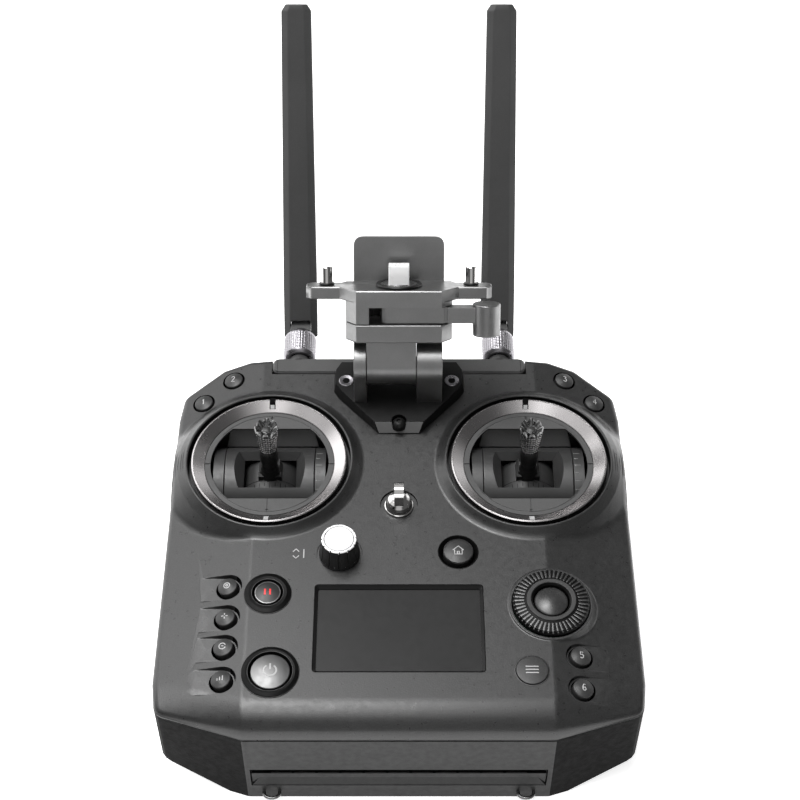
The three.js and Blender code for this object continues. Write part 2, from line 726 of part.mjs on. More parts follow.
function bracketBase() {
  let base = prism(plateOutline, GAP, PLATE_TOP, 0.6);
  for (const [x0, x1] of CHEEKS) {
    base = join(
      base,
      block([x0, x1], [HINGE.y - HINGE.r, HINGE.y + HINGE.r], [PLATE_TOP - 1, HINGE.z]),
      barX(x0, x1, HINGE.y, HINGE.z, HINGE.r, 28),
    );
  }
  return cut(
    base,
    block([-50, 50], [BAR.y0 - 1, 90], [-5, BAR.z1 + GAP]),
    barX(-30, 30, HINGE.y, HINGE.z, HINGE.pin + GAP, 20),
    post(0, 20.5, -1, 20, 3.4, 3.4, 20),
  );
}
place(transmitter, "bracket_base", bracketBase(), "darkPlastic");

const stackOutline = mirrored([
  [22.1, STACK.front],
  [27.7, -6],
  [27.7, STACK.back],
]);
const wingOutline = mirrored([
  [22.1, STACK.front],
  [31, -4],
  [45.5, -4],
  [48.3, -1.2],
  [48.3, 5.2],
  [45.5, 8],
  [30, 8],
  [27.7, STACK.back],
]);

/** The arm: a hinge barrel with its pins, a neck and the lower plate. */
function bracketArm() {
  const [left, right] = [CHEEKS[0][1] + GAP, CHEEKS[1][0] - GAP];
  return join(
    barX(left, right, 0, 0, HINGE.r - 0.2, 28),
    barX(CHEEKS[0][0], CHEEKS[1][1], 0, 0, HINGE.pin, 20),
    block([left, right], [-HINGE.r + 0.2, 8], [0, STACK.low + 1]),
    prism(stackOutline, STACK.low, STACK.split, 0.5),
  );
}

/** The head: a slot open to the front and right for the lever, and above it the wings and back plate. */
function bracketHead() {
  const plate = { x: 23.8, thick: 2.6, height: 26 };
  const upright = prism(rounded(rectangle(-plate.x, plate.x, 0, plate.height), 5, 3), 0, plate.thick, 0.4);
  const plateBack = STACK.back + plate.thick + GAP;
  return cut(
    join(
      prism(stackOutline, STACK.split + GAP, STACK.wing + 1, 0.3),
      prism(wingOutline, STACK.wing, STACK.top, 0.5),
      block([-plate.x, plate.x], [STACK.back - 3, plateBack], [STACK.top - plate.thick, STACK.top]),
      solid(geometryOf(upright), [0, plateBack, STACK.top - plate.thick + 1], [90, 0, 0]),
    ),
    block([-15.5, 60], [-30, 4], [STACK.split - 1, STACK.slot]),
    post(0, 0, STACK.split - 1, STACK.slot, LEVER.hub + 0.5, LEVER.hub + 0.5, 32),
    post(0, 0, STACK.split, STACK.top + 1, 4.3, 4.3, 20),
    ...SIDES.map(([, side]) => post(side * PIN_X, 2, STACK.wing - 1, STACK.top + 1, 2.3, 2.3, 12)),
  );
}

/** The locking lever: a hub round the tenon's axis, an arm to the right and an upright grip. */
function bracketLever() {
  const [z0, z1] = [STACK.split + 0.6, STACK.slot - GAP];
  return cut(
    join(
      post(0, 0, z0, z1, LEVER.hub, LEVER.hub, 32),
      block([-3.6, LEVER.knobX], [LEVER.front, -4.4], [z0, z1]),
      post(LEVER.knobX, LEVER.knobY, z0 - 7, z1 + 1, LEVER.knobR, LEVER.knobR, 24),
    ),
    block([23.4, 25.2], [LEVER.front - 1, LEVER.front + 1.6], [z0 - 1, z1 + 1]),
    post(0, 0, z0 - 1, z1 + 1, 4.3, 4.3, 20),
  );
}

/** The rotating tenon that locks a monitor: a flanged disc, a square head and a shaft. */
function bracketTenon() {
  return join(
    post(0, 0, STACK.split + 2, STACK.top + 1, 4, 4, 20),
    post(0, 0, STACK.top + GAP, STACK.top + 1.5, 12, 11.4, 28),
    prism(rectangle(-5.4, 5.4, -5.4, 5.4), STACK.top + 1, STACK.top + 11, 0.5),
  );
}

const bracketPin = turned(
  [
    [0, -5],
    [2, -5],
    [2, GAP],
    [4, GAP],
    [4, 1.2],
    [3.1, 1.2],
    [3.1, 9.4],
    [2.5, 10],
    [0, 10],
  ],
  [0, 0, 0],
  16,
);

const head = new THREE.Group();
head.position.set(0, HINGE.y, HINGE.z);
head.rotation.x = rad(HINGE.lean);
transmitter.add(head);
place(head, "bracket_arm", bracketArm(), "anodised");
place(head, "bracket_head", bracketHead(), "anodised");
place(head, "bracket_lever", bracketLever(), "anodised");
place(head, "bracket_tenon", bracketTenon(), "chrome");
for (const [name, side] of SIDES) {
  place(head, `${name}_bracket_pin`, bracketPin, "chrome", [side * PIN_X, 2, STACK.top]);
}

// ---------------------------------------------------------------- rear controls and battery
const batteryOutline = rounded(rectangle(-BATTERY.x, BATTERY.x, BATTERY.y0, BATTERY.y1), 3, 2);
place(transmitter, "battery_pack", prism(batteryOutline, BATTERY.z0, BATTERY.z1, 0.8), "darkPlastic");

const releaseOutline = rounded(rectangle(-RELEASE.x, RELEASE.x, RELEASE.y0, RELEASE.y1), 2, 2);
place(transmitter, "battery_release", prism(releaseOutline, -DEPTH + 0.8, RELEASE.z1 - 2), "rubber");

/** A knurled wheel for the index finger. */
function shoulderDial() {
  const count = 18;
  const outline = Array.from({ length: count * 2 }, (_, k) => {
    const angle = (k * Math.PI) / count;
    const radius = SHOULDER_R - (k % 2) * 0.7;
    return [radius * Math.cos(angle), radius * Math.sin(angle)];
  });
  return prism(outline, -4, 4, 0.5);
}

for (const [name, side] of SIDES) {
  const [x, y] = shoulderAxis(side);
  place(transmitter, `${name}_shoulder_dial`, shoulderDial(), "rubber", [x, y, SHOULDER_Z]);
}
place(transmitter, "record_button", buttonBody(6, 1.6), "key", [-68, BACK_Y, SHOULDER_Z], [-90, 0, 0]);
place(transmitter, "shutter_button", buttonBody(6, 1.6), "key", [68, BACK_Y, SHOULDER_Z], [-90, 0, 0]);

export default transmitter;
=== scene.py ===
"""The looks of a two-stick camera-drone transmitter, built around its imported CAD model.

Lengths are millimetres in the row frame unless a comment says otherwise: +X is the user's right,
+Y points to the antennas, +Z is square to the front panel. Every mesh is scaled to metres at the end.
"""

import json
import math

import bmesh
import bpy
import numpy as np
from mathutils import Matrix, Vector
from mathutils.geometry import delaunay_2d_cdt

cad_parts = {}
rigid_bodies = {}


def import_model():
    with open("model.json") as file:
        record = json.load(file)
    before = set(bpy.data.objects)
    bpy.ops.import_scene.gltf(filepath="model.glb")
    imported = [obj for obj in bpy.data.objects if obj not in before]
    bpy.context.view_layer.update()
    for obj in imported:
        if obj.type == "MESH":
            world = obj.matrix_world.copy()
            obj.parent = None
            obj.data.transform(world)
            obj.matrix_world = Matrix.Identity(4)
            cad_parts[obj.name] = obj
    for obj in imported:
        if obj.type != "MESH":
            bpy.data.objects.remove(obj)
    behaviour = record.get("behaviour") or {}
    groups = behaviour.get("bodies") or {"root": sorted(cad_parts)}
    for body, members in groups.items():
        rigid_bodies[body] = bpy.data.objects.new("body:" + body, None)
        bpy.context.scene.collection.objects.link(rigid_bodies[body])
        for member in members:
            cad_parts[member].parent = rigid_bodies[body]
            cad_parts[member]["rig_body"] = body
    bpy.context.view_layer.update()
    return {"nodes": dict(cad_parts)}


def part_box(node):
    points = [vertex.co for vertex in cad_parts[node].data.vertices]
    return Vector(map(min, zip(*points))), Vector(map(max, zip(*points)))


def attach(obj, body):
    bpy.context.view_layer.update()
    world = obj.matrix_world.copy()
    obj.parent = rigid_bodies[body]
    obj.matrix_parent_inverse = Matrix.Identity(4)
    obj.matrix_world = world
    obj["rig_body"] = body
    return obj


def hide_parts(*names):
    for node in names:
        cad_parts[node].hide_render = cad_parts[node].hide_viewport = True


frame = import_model()

MM = 0.001
IDENTITY = Matrix.Identity(4)


# ------------------------------------------------------------------ places taken from the CAD frame
def box(node):
    """Lowest and highest corner of a CAD node."""
    low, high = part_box(node)
    return low / MM, high / MM


def centre(node):
    low, high = box(node)
    return (low + high) / 2


BOSS_TOP = 4.0
PANEL = box("front_shell")[1].z - BOSS_TOP  # height of the flat front panel
SIDES = (("left", -1), ("right", 1))


# ------------------------------------------------------------------ small geometry helpers
def move(x, y, z):
    return Matrix.Translation((x, y, z))


def turn(degrees, axis):
    return Matrix.Rotation(math.radians(degrees), 4, axis)


# Stands a flat outline up: its x runs along Y, its y along Z, and its height along X.
STANDING = Matrix(((0, 0, 1, 0), (1, 0, 0, 0), (0, 1, 0, 0), (0, 0, 0, 1)))


def circle(x, y, radius, count=64):
    steps = np.arange(count) * 2 * math.pi / count
    return [(x + radius * math.cos(a), y + radius * math.sin(a)) for a in steps]


def filleted(points, radius, steps=4, closed=True):
    """A 2-D line with its corners rounded. radius is one number or one for each corner."""
    result = []
    count = len(points)
    for i, point in enumerate(points):
        r = radius[i] if isinstance(radius, (list, tuple)) else radius
        if (not closed and i in (0, count - 1)) or r <= 0:
            result.append(tuple(point))
            continue
        corner = Vector(point)
        before = Vector(points[i - 1]) - corner
        after = Vector(points[(i + 1) % count]) - corner
        cosine = max(-1.0, min(1.0, before.normalized().dot(after.normalized())))
        half = math.acos(cosine) / 2
        if half > math.radians(88):
            result.append(tuple(point))
            continue
        run = min(r / math.tan(half), before.length * 0.47, after.length * 0.47)
        start, end = corner + before.normalized() * run, corner + after.normalized() * run
        for k in range(steps + 1):
            t = k / steps
            result.append(tuple((1 - t) ** 2 * start + 2 * t * (1 - t) * corner + t * t * end))
    return result


def inset(points, distance):
    """A closed convex outline, counter-clockwise, with its edges moved inwards."""
    moved = []
    for i, point in enumerate(points):
        before, here = Vector(points[i - 1]), Vector(point)
        after = Vector(points[(i + 1) % len(points)])
        into, out = (here - before).normalized(), (after - here).normalized()
        bisector = Vector((-into.y - out.y, into.x + out.x)).normalized()
        reach = distance / bisector.dot(Vector((-into.y, into.x)))
        moved.append(tuple(here + bisector * reach))
    return moved


def mirrored(points):
    return list(points) + [(-x, y) for x, y in reversed(points)]


def rectangle(x0, x1, y0, y1):
    return [(x0, y0), (x1, y0), (x1, y1), (x0, y1)]


def rounded(points, radius, steps=3):
    """An open profile with its corners rounded."""
    return filleted(points, radius, steps, closed=False)


def arc(radius, start, end, count=24):
    angles = np.radians(np.linspace(start, end, count))
    return [(radius * math.cos(a), radius * math.sin(a)) for a in angles]


def smooth_max(a, b, soft):
    return np.maximum(a, b) + np.maximum(soft - np.abs(a - b), 0) ** 2 / (4 * soft)


def smooth_min(a, b, soft):
    return -smooth_max(-a, -b, soft)


def ramp(value, start, end):
    """0 before start, 1 after end, smooth between."""
    t = np.clip((value - start) / (end - start), 0, 1)
    return t * t * (3 - 2 * t)


def inside_polygon(x, y, polygon):
    hit = np.zeros(len(x), bool)
    for i, (x1, y1) in enumerate(polygon):
        x0, y0 = polygon[i - 1]
        if y0 == y1:
            continue
        crosses = (y0 > y) != (y1 > y)
        hit ^= crosses & (x < (x1 - x0) * (y - y0) / (y1 - y0) + x0)
    return hit


def line_distance(x, y, points):
    """Distance from each point to a closed line."""
    best = np.full(len(x), np.inf)
    for i, (x1, y1) in enumerate(points):
        x0, y0 = points[i - 1]
        dx, dy = x1 - x0, y1 - y0
        length = dx * dx + dy * dy
        if length > 1e-12:
            t = np.clip(((x - x0) * dx + (y - y0) * dy) / length, 0, 1)
            best = np.minimum(best, np.hypot(x - x0 - t * dx, y - y0 - t * dy))
    return best


# ------------------------------------------------------------------ a piece under construction
class Piece:
    """Collects geometry in millimetres, then becomes one object that rides on a CAD body."""

    def __init__(self, name, body, slot, *materials, at=IDENTITY):
        self.name, self.body, self.slot, self.materials, self.at = name, body, slot, materials, at
        self.mesh = bmesh.new()

    def add(self, points, faces, at=IDENTITY, material=0):
        place = self.at @ at
        made = [self.mesh.verts.new(place @ Vector(p)) for p in points]
        flip = place.to_3x3().determinant() < 0
        for face in faces:
            corners = [made[i] for i in face]
            if len(set(corners)) < 3:
                continue
            try:
                new = self.mesh.faces.new(reversed(corners) if flip else corners)
            except ValueError:
                continue
            new.material_index = material
        return self

    def lathe(self, profile, at=IDENTITY, sides=64, material=0, closed=False, wave=None):
        """Turns (radius, z) points about Z. Points run so that the outside is on the right of the path.
        A point with a third value is moved all round by wave(angle, radius, z, third value)."""
        loops, points, faces = [], [], []
        for radius, z, *kind in profile:
            if abs(radius) < 1e-6:
                loops.append([len(points)] * sides)
                points.append((0, 0, z))
                continue
            loops.append(list(range(len(points), len(points) + sides)))
            for s in range(sides):
                angle = 2 * math.pi * s / sides
                r, height = wave(angle, radius, z, *kind) if kind else (radius, z)
                points.append((r * math.cos(angle), r * math.sin(angle), height))
        if closed:
            loops.append(loops[0])
        for low, high in zip(loops, loops[1:]):
            for s in range(sides):
                t = (s + 1) % sides
                ring = [low[s], low[t], high[t], high[s]]
                unique = [v for i, v in enumerate(ring) if v != ring[i - 1]]
                if len(unique) > 2:
                    faces.append(unique)
        return self.add(points, faces, at, material)

    def rod(self, radius, z0, z1, at=IDENTITY, sides=32, material=0, edge=0.0, steps=3):
        """A round bar along Z, its ends rounded by edge."""
        profile = rounded([(0, z0), (radius, z0), (radius, z1), (0, z1)], edge, steps)
        return self.lathe(profile, at, sides, material)

    def stack(self, rings, at=IDENTITY, material=0, closed=False):
        """Joins rings of equally many points into a skin, capped at both ends or closed into a loop."""
        n, count = len(rings[0]), len(rings)
        faces = [] if closed else [list(range(n))[::-1], list(range((count - 1) * n, count * n))]
        for a in range(count if closed else count - 1):
            b = (a + 1) % count
            faces += [[a * n + i, a * n + (i + 1) % n, b * n + (i + 1) % n, b * n + i] for i in range(n)]
        return self.add([p for ring in rings for p in ring], faces, at, material)

    def prism(self, outline, z0, z1, at=IDENTITY, material=0, top=None):
        """Stands a counter-clockwise outline up from z0 to z1; top is another outline for the upper end."""
        rings = [[(x, y, z0) for x, y in outline], [(x, y, z1) for x, y in top or outline]]
        return self.stack(rings, at, material)

    def block(self, x, y, z, at=IDENTITY, material=0):
        return self.prism(rectangle(*x, *y), *z, at, material)

    def sweep(self, path, radius, sides=16):
        """A round bar along a bent path."""
        path = [Vector(p) for p in path]
        rings, normal = [], Vector((0, 0, 1))
        for i, p in enumerate(path):
            ahead = (path[min(i + 1, len(path) - 1)] - path[max(i - 1, 0)]).normalized()
            if i == 0:
                normal = ahead.cross(normal)
            normal = (normal - ahead * normal.dot(ahead)).normalized()
            other = ahead.cross(normal)
            rings.append([p + normal * x + other * y for x, y in circle(0, 0, radius, sides)])
        return self.stack(rings)

    def relief(self, loops, keep, top, bottom):
        """A closed solid whose upper skin follows top(x, y). loops are closed lines, each one an edge of the
        skin or a crease in it, and keep(x, y) says which parts of the plane are solid."""
        flat, edges = [], []
        for loop in loops:
            first = len(flat)
            flat += [Vector(p) for p in loop]
            edges += [(first + i, first + (i + 1) % len(loop)) for i in range(len(loop))]
        out = delaunay_2d_cdt(flat, edges, [], 0, 1e-5)
        xy = np.array([tuple(v) for v in out[0]])
        triangles = np.array([list(t) for t in out[2]])
        mid = xy[triangles].mean(axis=1)
        triangles = triangles[keep(mid[:, 0], mid[:, 1])]
        used = np.unique(triangles)
        renumber = -np.ones(len(xy), int)
        renumber[used] = np.arange(len(used))
        xy, triangles = xy[used], renumber[triangles]
        area = np.cross(xy[triangles[:, 1]] - xy[triangles[:, 0]], xy[triangles[:, 2]] - xy[triangles[:, 0]])
        triangles[area < 0] = triangles[area < 0][:, ::-1]
        count = len(xy)
        heights = top(xy[:, 0], xy[:, 1])
        depths = np.minimum(bottom(xy[:, 0], xy[:, 1]), heights - 0.2)
        points = [(x, y, z) for (x, y), z in zip(xy, heights)]
        points += [(x, y, z) for (x, y), z in zip(xy, depths)]
        sides = {}
        for a, b, c in triangles:
            for pair in ((a, b), (b, c), (c, a)):
                sides[pair] = sides.get(pair, 0) + 1
        rim = [(a, b) for a, b in sides if (b, a) not in sides]
        faces = [list(t) for t in triangles] + [list(t[::-1] + count) for t in triangles]
        faces += [[b, a, a + count, b + count] for a, b in rim]
        return self.add(points, faces)

    def done(self, bevel=0.0, segments=2, angle=30, sharp=34, replaces=(), cuts=(), weld=True, dress=None,
             height=None):
        """Bevels, shades and places the piece. cuts are other Pieces taken away from it first,
        dress(normal) may choose the material of each finished face, and height(x, y) shades a relief."""
        if weld:
            bmesh.ops.remove_doubles(self.mesh, verts=self.mesh.verts, dist=1e-4)
        data = bpy.data.meshes.new(self.name)
        bmesh.ops.scale(self.mesh, vec=(MM, MM, MM), verts=self.mesh.verts)
        self.mesh.to_mesh(data)
        self.mesh.free()
        for material in self.materials:
            data.materials.append(material)
        made = bpy.data.objects.new(self.name, data)
        bpy.context.scene.collection.objects.link(made)
        if self.body is None:
            return made
        cutters = [c.done() for c in cuts]
        for cutter in cutters:
            step = made.modifiers.new("cut", "BOOLEAN")
            step.operation, step.object, step.solver = "DIFFERENCE", cutter, "EXACT"
            step.use_self = True
        if bevel:
            step = made.modifiers.new("bevel", "BEVEL")
            step.width, step.segments, step.limit_method = bevel * MM, segments, "ANGLE"
            step.angle_limit = math.radians(angle)
        if cutters or bevel:
            graph = bpy.context.evaluated_depsgraph_get()
            made.data = bpy.data.meshes.new_from_object(made.evaluated_get(graph))
            made.modifiers.clear()
        for cutter in cutters:
            bpy.data.objects.remove(cutter)
        if dress:
            for face in made.data.polygons:
                face.material_index = dress(face.normal)
        made.data.shade_smooth()
        if height:
            shade_relief(made.data, self.at.translation, height)
        else:
            made.data.set_sharp_from_angle(angle=math.radians(sharp))
            made.modifiers.new("normals", "WEIGHTED_NORMAL").keep_sharp = True
        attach(made, self.body)
        if replaces:
            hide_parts(*([replaces] if isinstance(replaces, str) else replaces))
        return made


def cutter(at=IDENTITY):
    """A shape to be taken away from a piece."""
    return Piece("cutter", None, None, at=at)


def shade_relief(data, origin, height, reach=0.05, step=0.02):
    """Gives each corner of a relief's skin the normal of height(x, y) just inside its own face."""
    def read(items, name, width, kind=float):
        values = np.empty(len(items) * width, kind)
        items.foreach_get(name, values)
        return values.reshape(-1, width) if width > 1 else values

    corners = read(data.loops, "vertex_index", 1, np.int32)
    face_of = np.repeat(np.arange(len(data.polygons)), read(data.polygons, "loop_total", 1, np.int32))
    points = read(data.vertices, "co", 3)[corners] / MM - np.array(origin)
    middles = read(data.polygons, "center", 3)[face_of] / MM - np.array(origin)
    normals = read(data.polygons, "normal", 3)[face_of]
    inward = (middles - points)[:, :2]
    spot = points[:, :2] + inward * np.minimum(1, reach / np.linalg.norm(inward, axis=1))[:, None]
    x, y = spot.T
    east = (height(x + step, y) - height(x - step, y)) / (2 * step)
    north = (height(x, y + step) - height(x, y - step)) / (2 * step)
    exact = np.stack([-east, -north, np.ones(len(x))], axis=1)
    exact /= np.linalg.norm(exact, axis=1)[:, None]
    alike = (exact * normals).sum(axis=1) > 0.8
    data.normals_split_custom_set(np.where(alike[:, None], exact, normals))


def refined(name, node, slot, materials, bevel=0.4, segments=2, angle=26, also=None, **finishing):
    """A piece with a CAD node's own shape, its flat faces whole again and its edges rounded.
    also(piece) may add to it first."""
    piece = Piece(name, frame["nodes"][node]["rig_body"], slot, *materials)
    mesh = piece.mesh
    mesh.from_mesh(frame["nodes"][node].data)
    bmesh.ops.scale(mesh, vec=(1 / MM,) * 3, verts=mesh.verts)
    bmesh.ops.remove_doubles(mesh, verts=mesh.verts, dist=2e-3)
    bmesh.ops.dissolve_limit(mesh, angle_limit=math.radians(1), verts=mesh.verts, edges=mesh.edges)
    for face in mesh.faces:
        face.material_index = 0
    if also:
        also(piece)
    return piece.done(bevel, segments, angle, replaces=node, weld=False, **finishing)


# ------------------------------------------------------------------ materials
CLOUD_SIZE, SMUDGE_SIZE = 22.0, 3.1  # millimetres
NOISE_SPAN = (0.3, 0.7)  # where nearly all of a noise texture's values lie


def finish(name, colour, roughness, metallic=0.0, grain=0.4, depth=0.02, strength=0.25, mottle=0.08,
           spread=0.06, speckle=0.0, specular=0.5):
    """A procedural finish. grain is the size of the surface texture in millimetres and depth its height,
    mottle and speckle say how far the colour wanders over a cloud and over a grain, spread how far the
    roughness does. A single number for the colour is a grey."""
    colour = colour if isinstance(colour, tuple) else (colour,) * 3
    material = bpy.data.materials.new(name)
    material.use_nodes = True
    nodes, links = material.node_tree.nodes, material.node_tree.links
    shader = nodes["Principled BSDF"]
    shader.inputs["Metallic"].default_value = metallic
    shader.inputs["Specular IOR Level"].default_value = specular
    place = nodes.new("ShaderNodeTexCoord").outputs["Object"]

    def added(kind, sockets, values):
        node = nodes.new(kind)
        for socket, value in zip(sockets, values):
            node.inputs[socket].default_value = value
        return node

    def noise(size, detail):
        node = added("ShaderNodeTexNoise", ("Scale", "Detail"), (1 / (size * MM), detail))
        links.new(place, node.inputs["Vector"])
        return node.outputs["Fac"]

    def spanned(source, middle, reach):
        node = added("ShaderNodeMapRange", ("From Min", "From Max", "To Min", "To Max"),
                     (*NOISE_SPAN, middle - reach, middle + reach))
        links.new(source, node.inputs["Value"])
        return node.outputs["Result"]

    fine = noise(grain, 2.0)
    shade = nodes.new("ShaderNodeMath")
    shade.operation = "MULTIPLY"
    links.new(spanned(noise(CLOUD_SIZE, 4.0), 1, mottle), shade.inputs[0])
    links.new(spanned(fine, 1, speckle), shade.inputs[1])
    tint = nodes.new("ShaderNodeVectorMath")
    tint.operation = "SCALE"
    tint.inputs[0].default_value = colour
    links.new(shade.outputs[0], tint.inputs["Scale"])
    links.new(tint.outputs[0], shader.inputs["Base Color"])
    links.new(spanned(noise(SMUDGE_SIZE, 3.0), roughness, spread), shader.inputs["Roughness"])
    if depth:
        bump = added("ShaderNodeBump", ("Strength", "Distance"), (strength, depth * MM))
        links.new(fine, bump.inputs["Height"])
        links.new(bump.outputs["Normal"], shader.inputs["Normal"])
    material.diffuse_color = (*colour, 1)
    return material


CASING = finish("textured_casing", 0.02, 0.33, grain=0.62, depth=0.1, strength=0.4, speckle=0.3, mottle=0.04,
                specular=0.55)
# A darker copy of the casing plastic for faces that look sideways: painted shade.
CASING_PAINTED_SHADE_SIDE = finish("textured_casing_painted_shade_side", 0.0025, 0.5, grain=0.75, depth=0.09, strength=0.7, speckle=0.2,
                     mottle=0.06, specular=0.03)
# A darker copy of the casing plastic for the lower front face and the trim on it: painted shade.
CASING_PAINTED_SHADE_FRONT = finish("textured_casing_painted_shade_front", 0.009, 0.42, grain=0.62, depth=0.08, strength=0.35, speckle=0.25,
                      mottle=0.05, specular=0.22)
DARK = finish("dark_plastic", 0.02, 0.42, depth=0.03, mottle=0.1)
BLACK = finish("black_plastic", 0.006, 0.4, grain=0.3, depth=0.01, mottle=0.1, specular=0.3)
VOID = finish("gap_black", 0.003, 0.8, grain=0.3, depth=0.01, mottle=0.1, specular=0.1)
FACE = finish("gimbal_face", 0.05, 0.5, depth=0.04, strength=0.5, speckle=0.15)
CURTAIN = finish("gimbal_curtain", 0.16, 0.55, depth=0.03, strength=0.4, speckle=0.08)
GIMBAL = finish("gimbal_plastic", 0.03, 0.4, grain=0.35, depth=0.015, mottle=0.06)
BEZEL = finish("spun_gunmetal", (0.44, 0.425, 0.425), 0.27, 1.0, grain=0.9, depth=0, mottle=0.012, spread=0.005)
CHROME = finish("polished_chrome", (0.72, 0.71, 0.70), 0.09, 1.0, grain=1.5, depth=0, mottle=0.015, spread=0.03)
STEEL = finish("knurled_steel", (0.36, 0.35, 0.37), 0.3, 1.0, depth=0.006, mottle=0.05)
GUNMETAL = finish("dark_gunmetal", 0.22, 0.26, 1.0, depth=0.006, mottle=0.05)
BRACKET = finish("blasted_anodising", 0.26, 0.38, 1.0, grain=0.3, depth=0.008, strength=0.3, speckle=0.06)
BASE = finish("black_anodising", 0.007, 0.45, 0.3, grain=0.3, speckle=0.08, specular=0.25)
KEY = finish("key_satin", 0.036, 0.42, 0.2, grain=0.5, depth=0.03, speckle=0.2, specular=0.4)
POWER_KEY = finish("brushed_key", 0.17, 0.45, 1.0, grain=0.5, depth=0.008, mottle=0.05)
GLOSS = finish("smoked_gloss", 0.03, 0.26, grain=2.0, depth=0.002, specular=0.45)
# A lighter grey for the bracket plate's front bevel: painted highlight where that facet catches the light.
LIP_PAINTED_HIGHLIGHT = finish("lip_painted_highlight", 0.2, 0.5, 0.1, grain=0.3, depth=0.01)
# The chrome tenon gets a plain near-white with no metal: its white look is painted reflection.
TENON_PAINTED_REFLECTION = finish("tenon_painted_reflection", 0.85, 0.3, grain=0.6, depth=0, mottle=0.03)
GLASS = finish("screen_glass", 0.024, 0.2, grain=4.0, depth=0.001, mottle=0.03, spread=0.03, specular=0.2)
RUBBER = finish("rubber", 0.012, 0.62, depth=0.04, strength=0.4)
ANTENNA = finish("antenna_plastic", 0.043, 0.5, grain=0.5, depth=0.03, strength=0.4, speckle=0.06)
RAIL = finish("satin_rail", 0.045, 0.4, grain=0.5, depth=0.03, strength=0.3, speckle=0.08)
RIM = finish("bright_rim", 0.25, 0.35, 0.6, depth=0.004)
SURROUND = finish("button_surround", 0.003, 0.38, depth=0.01, specular=0.1)
RIB = finish("jog_rib", 0.1, 0.3, 0.9, depth=0.004)
WHITE = finish("white_print", 0.42, 0.5, depth=0.004, mottle=0.03)
RED = finish("red_print", (0.75, 0.02, 0.02), 0.45, depth=0.004, mottle=0.05)
KNOB_TOP = finish("polished_knob_top", 0.95, 0.2, grain=1.0, depth=0, mottle=0.01, spread=0.01)
BOARD = finish("circuit_board", (0.01, 0.09, 0.04), 0.45, grain=0.8, depth=0.04, mottle=0.25)


# ------------------------------------------------------------------ casing
(_, FRONT_Y, _), (HALF_WIDTH, BACK_Y, _) = box("rear_shell")
SEAM = box("front_shell")[0].z - PANEL
RIM_Z = SEAM + 0.7  # the front casing's lowest visible edge, over the dark parting line
CREASE = 74.0  # where the sides start to slope away from the panel
SLOPE = math.tan(math.radians(12))
ROLL_WIDTH = 16.5  # how far the rounding reaches in from the front edge
EDGE = 2.6  # radius along the casing's outer edge
WALL = 3.0
CORNERS = mirrored([(CREASE, FRONT_Y), (116.5, -142.3), (HALF_WIDTH, -126), (HALF_WIDTH, 37), (116.6, 52.2),
                    (96, 68.3), (81.5, BACK_Y)])
outline = filleted(CORNERS, 7, 6)

STICK_X = centre("right_gimbal_plate").x
GIMBAL_HOLE, RECESS_R, RECESS_FLOOR = 37.0, 42.3, -3.4
STICK_BOSS = (0, 43.3, 47.6, 60), (BOSS_TOP, BOSS_TOP, 0, -15)  # radii and heights of its cone
JOG_BOSS = (0, 20.3, 24.2, 30), (0.5, 0.5, -7, -20)
HOME, MENU, LUG, DIAL = (centre(n) for n in ("home_button", "menu_button", "neck_strap_lug", "tilt_dial"))
PAUSE, POWER, JOG = centre("pause_bezel"), centre("power_bezel"), centre("jog_wheel")
LUG_RECESS, DIAL_RECESS = 9.5, 11.3
CAMERA_AT = [(-84.7, y) for y in (-75.9, -93.7, -110.8, -128.6)]
FUNCTION_AT = [(-105.5, 45.9), (-89.9, 59.2), (89.9, 59.2), (105.5, 45.9), (87.4, -115.5), (87.4, -133.2)]
CAMERA_R, FUNCTION_R, KEY_GAP = 4.95, 5.05, 0.95
SCOOP_R, SCOOP_LENGTH = 7.3, 13.0
SCOOPS = [(x, y, -1) for x, y in CAMERA_AT] + [(x, y, 1) for x, y in FUNCTION_AT[4:]]
HOLES = [(JOG.x, JOG.y, 19.4), (HOME.x, HOME.y, 10.3), (PAUSE.x, PAUSE.y, 11.9), (POWER.x, POWER.y, 14.1),
         (MENU.x, MENU.y, 8.5), (LUG.x, LUG.y, 3.6), (DIAL.x, DIAL.y, 3.6)]
HOLES += [(x, y, CAMERA_R + KEY_GAP) for x, y in CAMERA_AT]
HOLES += [(x, y, FUNCTION_R + KEY_GAP) for x, y in FUNCTION_AT]
SCREEN_LOW, SCREEN_HIGH = box("screen_glass")
SCREEN_HOLE = rectangle(SCREEN_LOW.x - 0.4, SCREEN_HIGH.x + 0.4, SCREEN_LOW.y - 0.4, SCREEN_HIGH.y + 0.4)
screen_outline = filleted(SCREEN_HOLE, 2.2, 6)
RAIL_LOW, RAIL_HIGH = box("antenna_bar")
NOTCH_HALF, NOTCH_FRONT = RAIL_HIGH.x + 0.3, RAIL_LOW.y - 0.3  # the rail's notch in the back edge


def panel_height(x, soft=1.1):
    """The flat panel and its sloped sides, with the crease eased over soft millimetres each way."""
    past = np.abs(x) - CREASE
    eased = (past + soft) ** 2 / (4 * soft)
    return -SLOPE * np.where(past < -soft, 0, np.where(past > soft, past, eased))


def slope_at(x):
    """Height of the sloped side at one x."""
    return float(panel_height(np.array([x]))[0])


def scoop_distance(x, y, key):
    """Distance from the centre line of a key's thumb scoop, which runs outboard."""
    kx, ky, side = key
    along = np.clip((x - kx) * side, 0, SCOOP_LENGTH)
    return np.hypot(x - kx - along * side, y - ky)


def rounding(x, y):
    """1 over the panel, falling to 0 along the casing's front and corner edges on a quarter ellipse."""
    (ax, ay), (bx, by) = CORNERS[0], CORNERS[1]
    corner = ((np.abs(x) - ax) * (ay - by) + (y - ay) * (bx - ax)) / math.hypot(bx - ax, by - ay)
    t = np.clip(smooth_min(y - FRONT_Y, corner, 0.9) / ROLL_WIDTH, 0, 1)
    return np.sqrt(1 - (1 - t) ** 2)


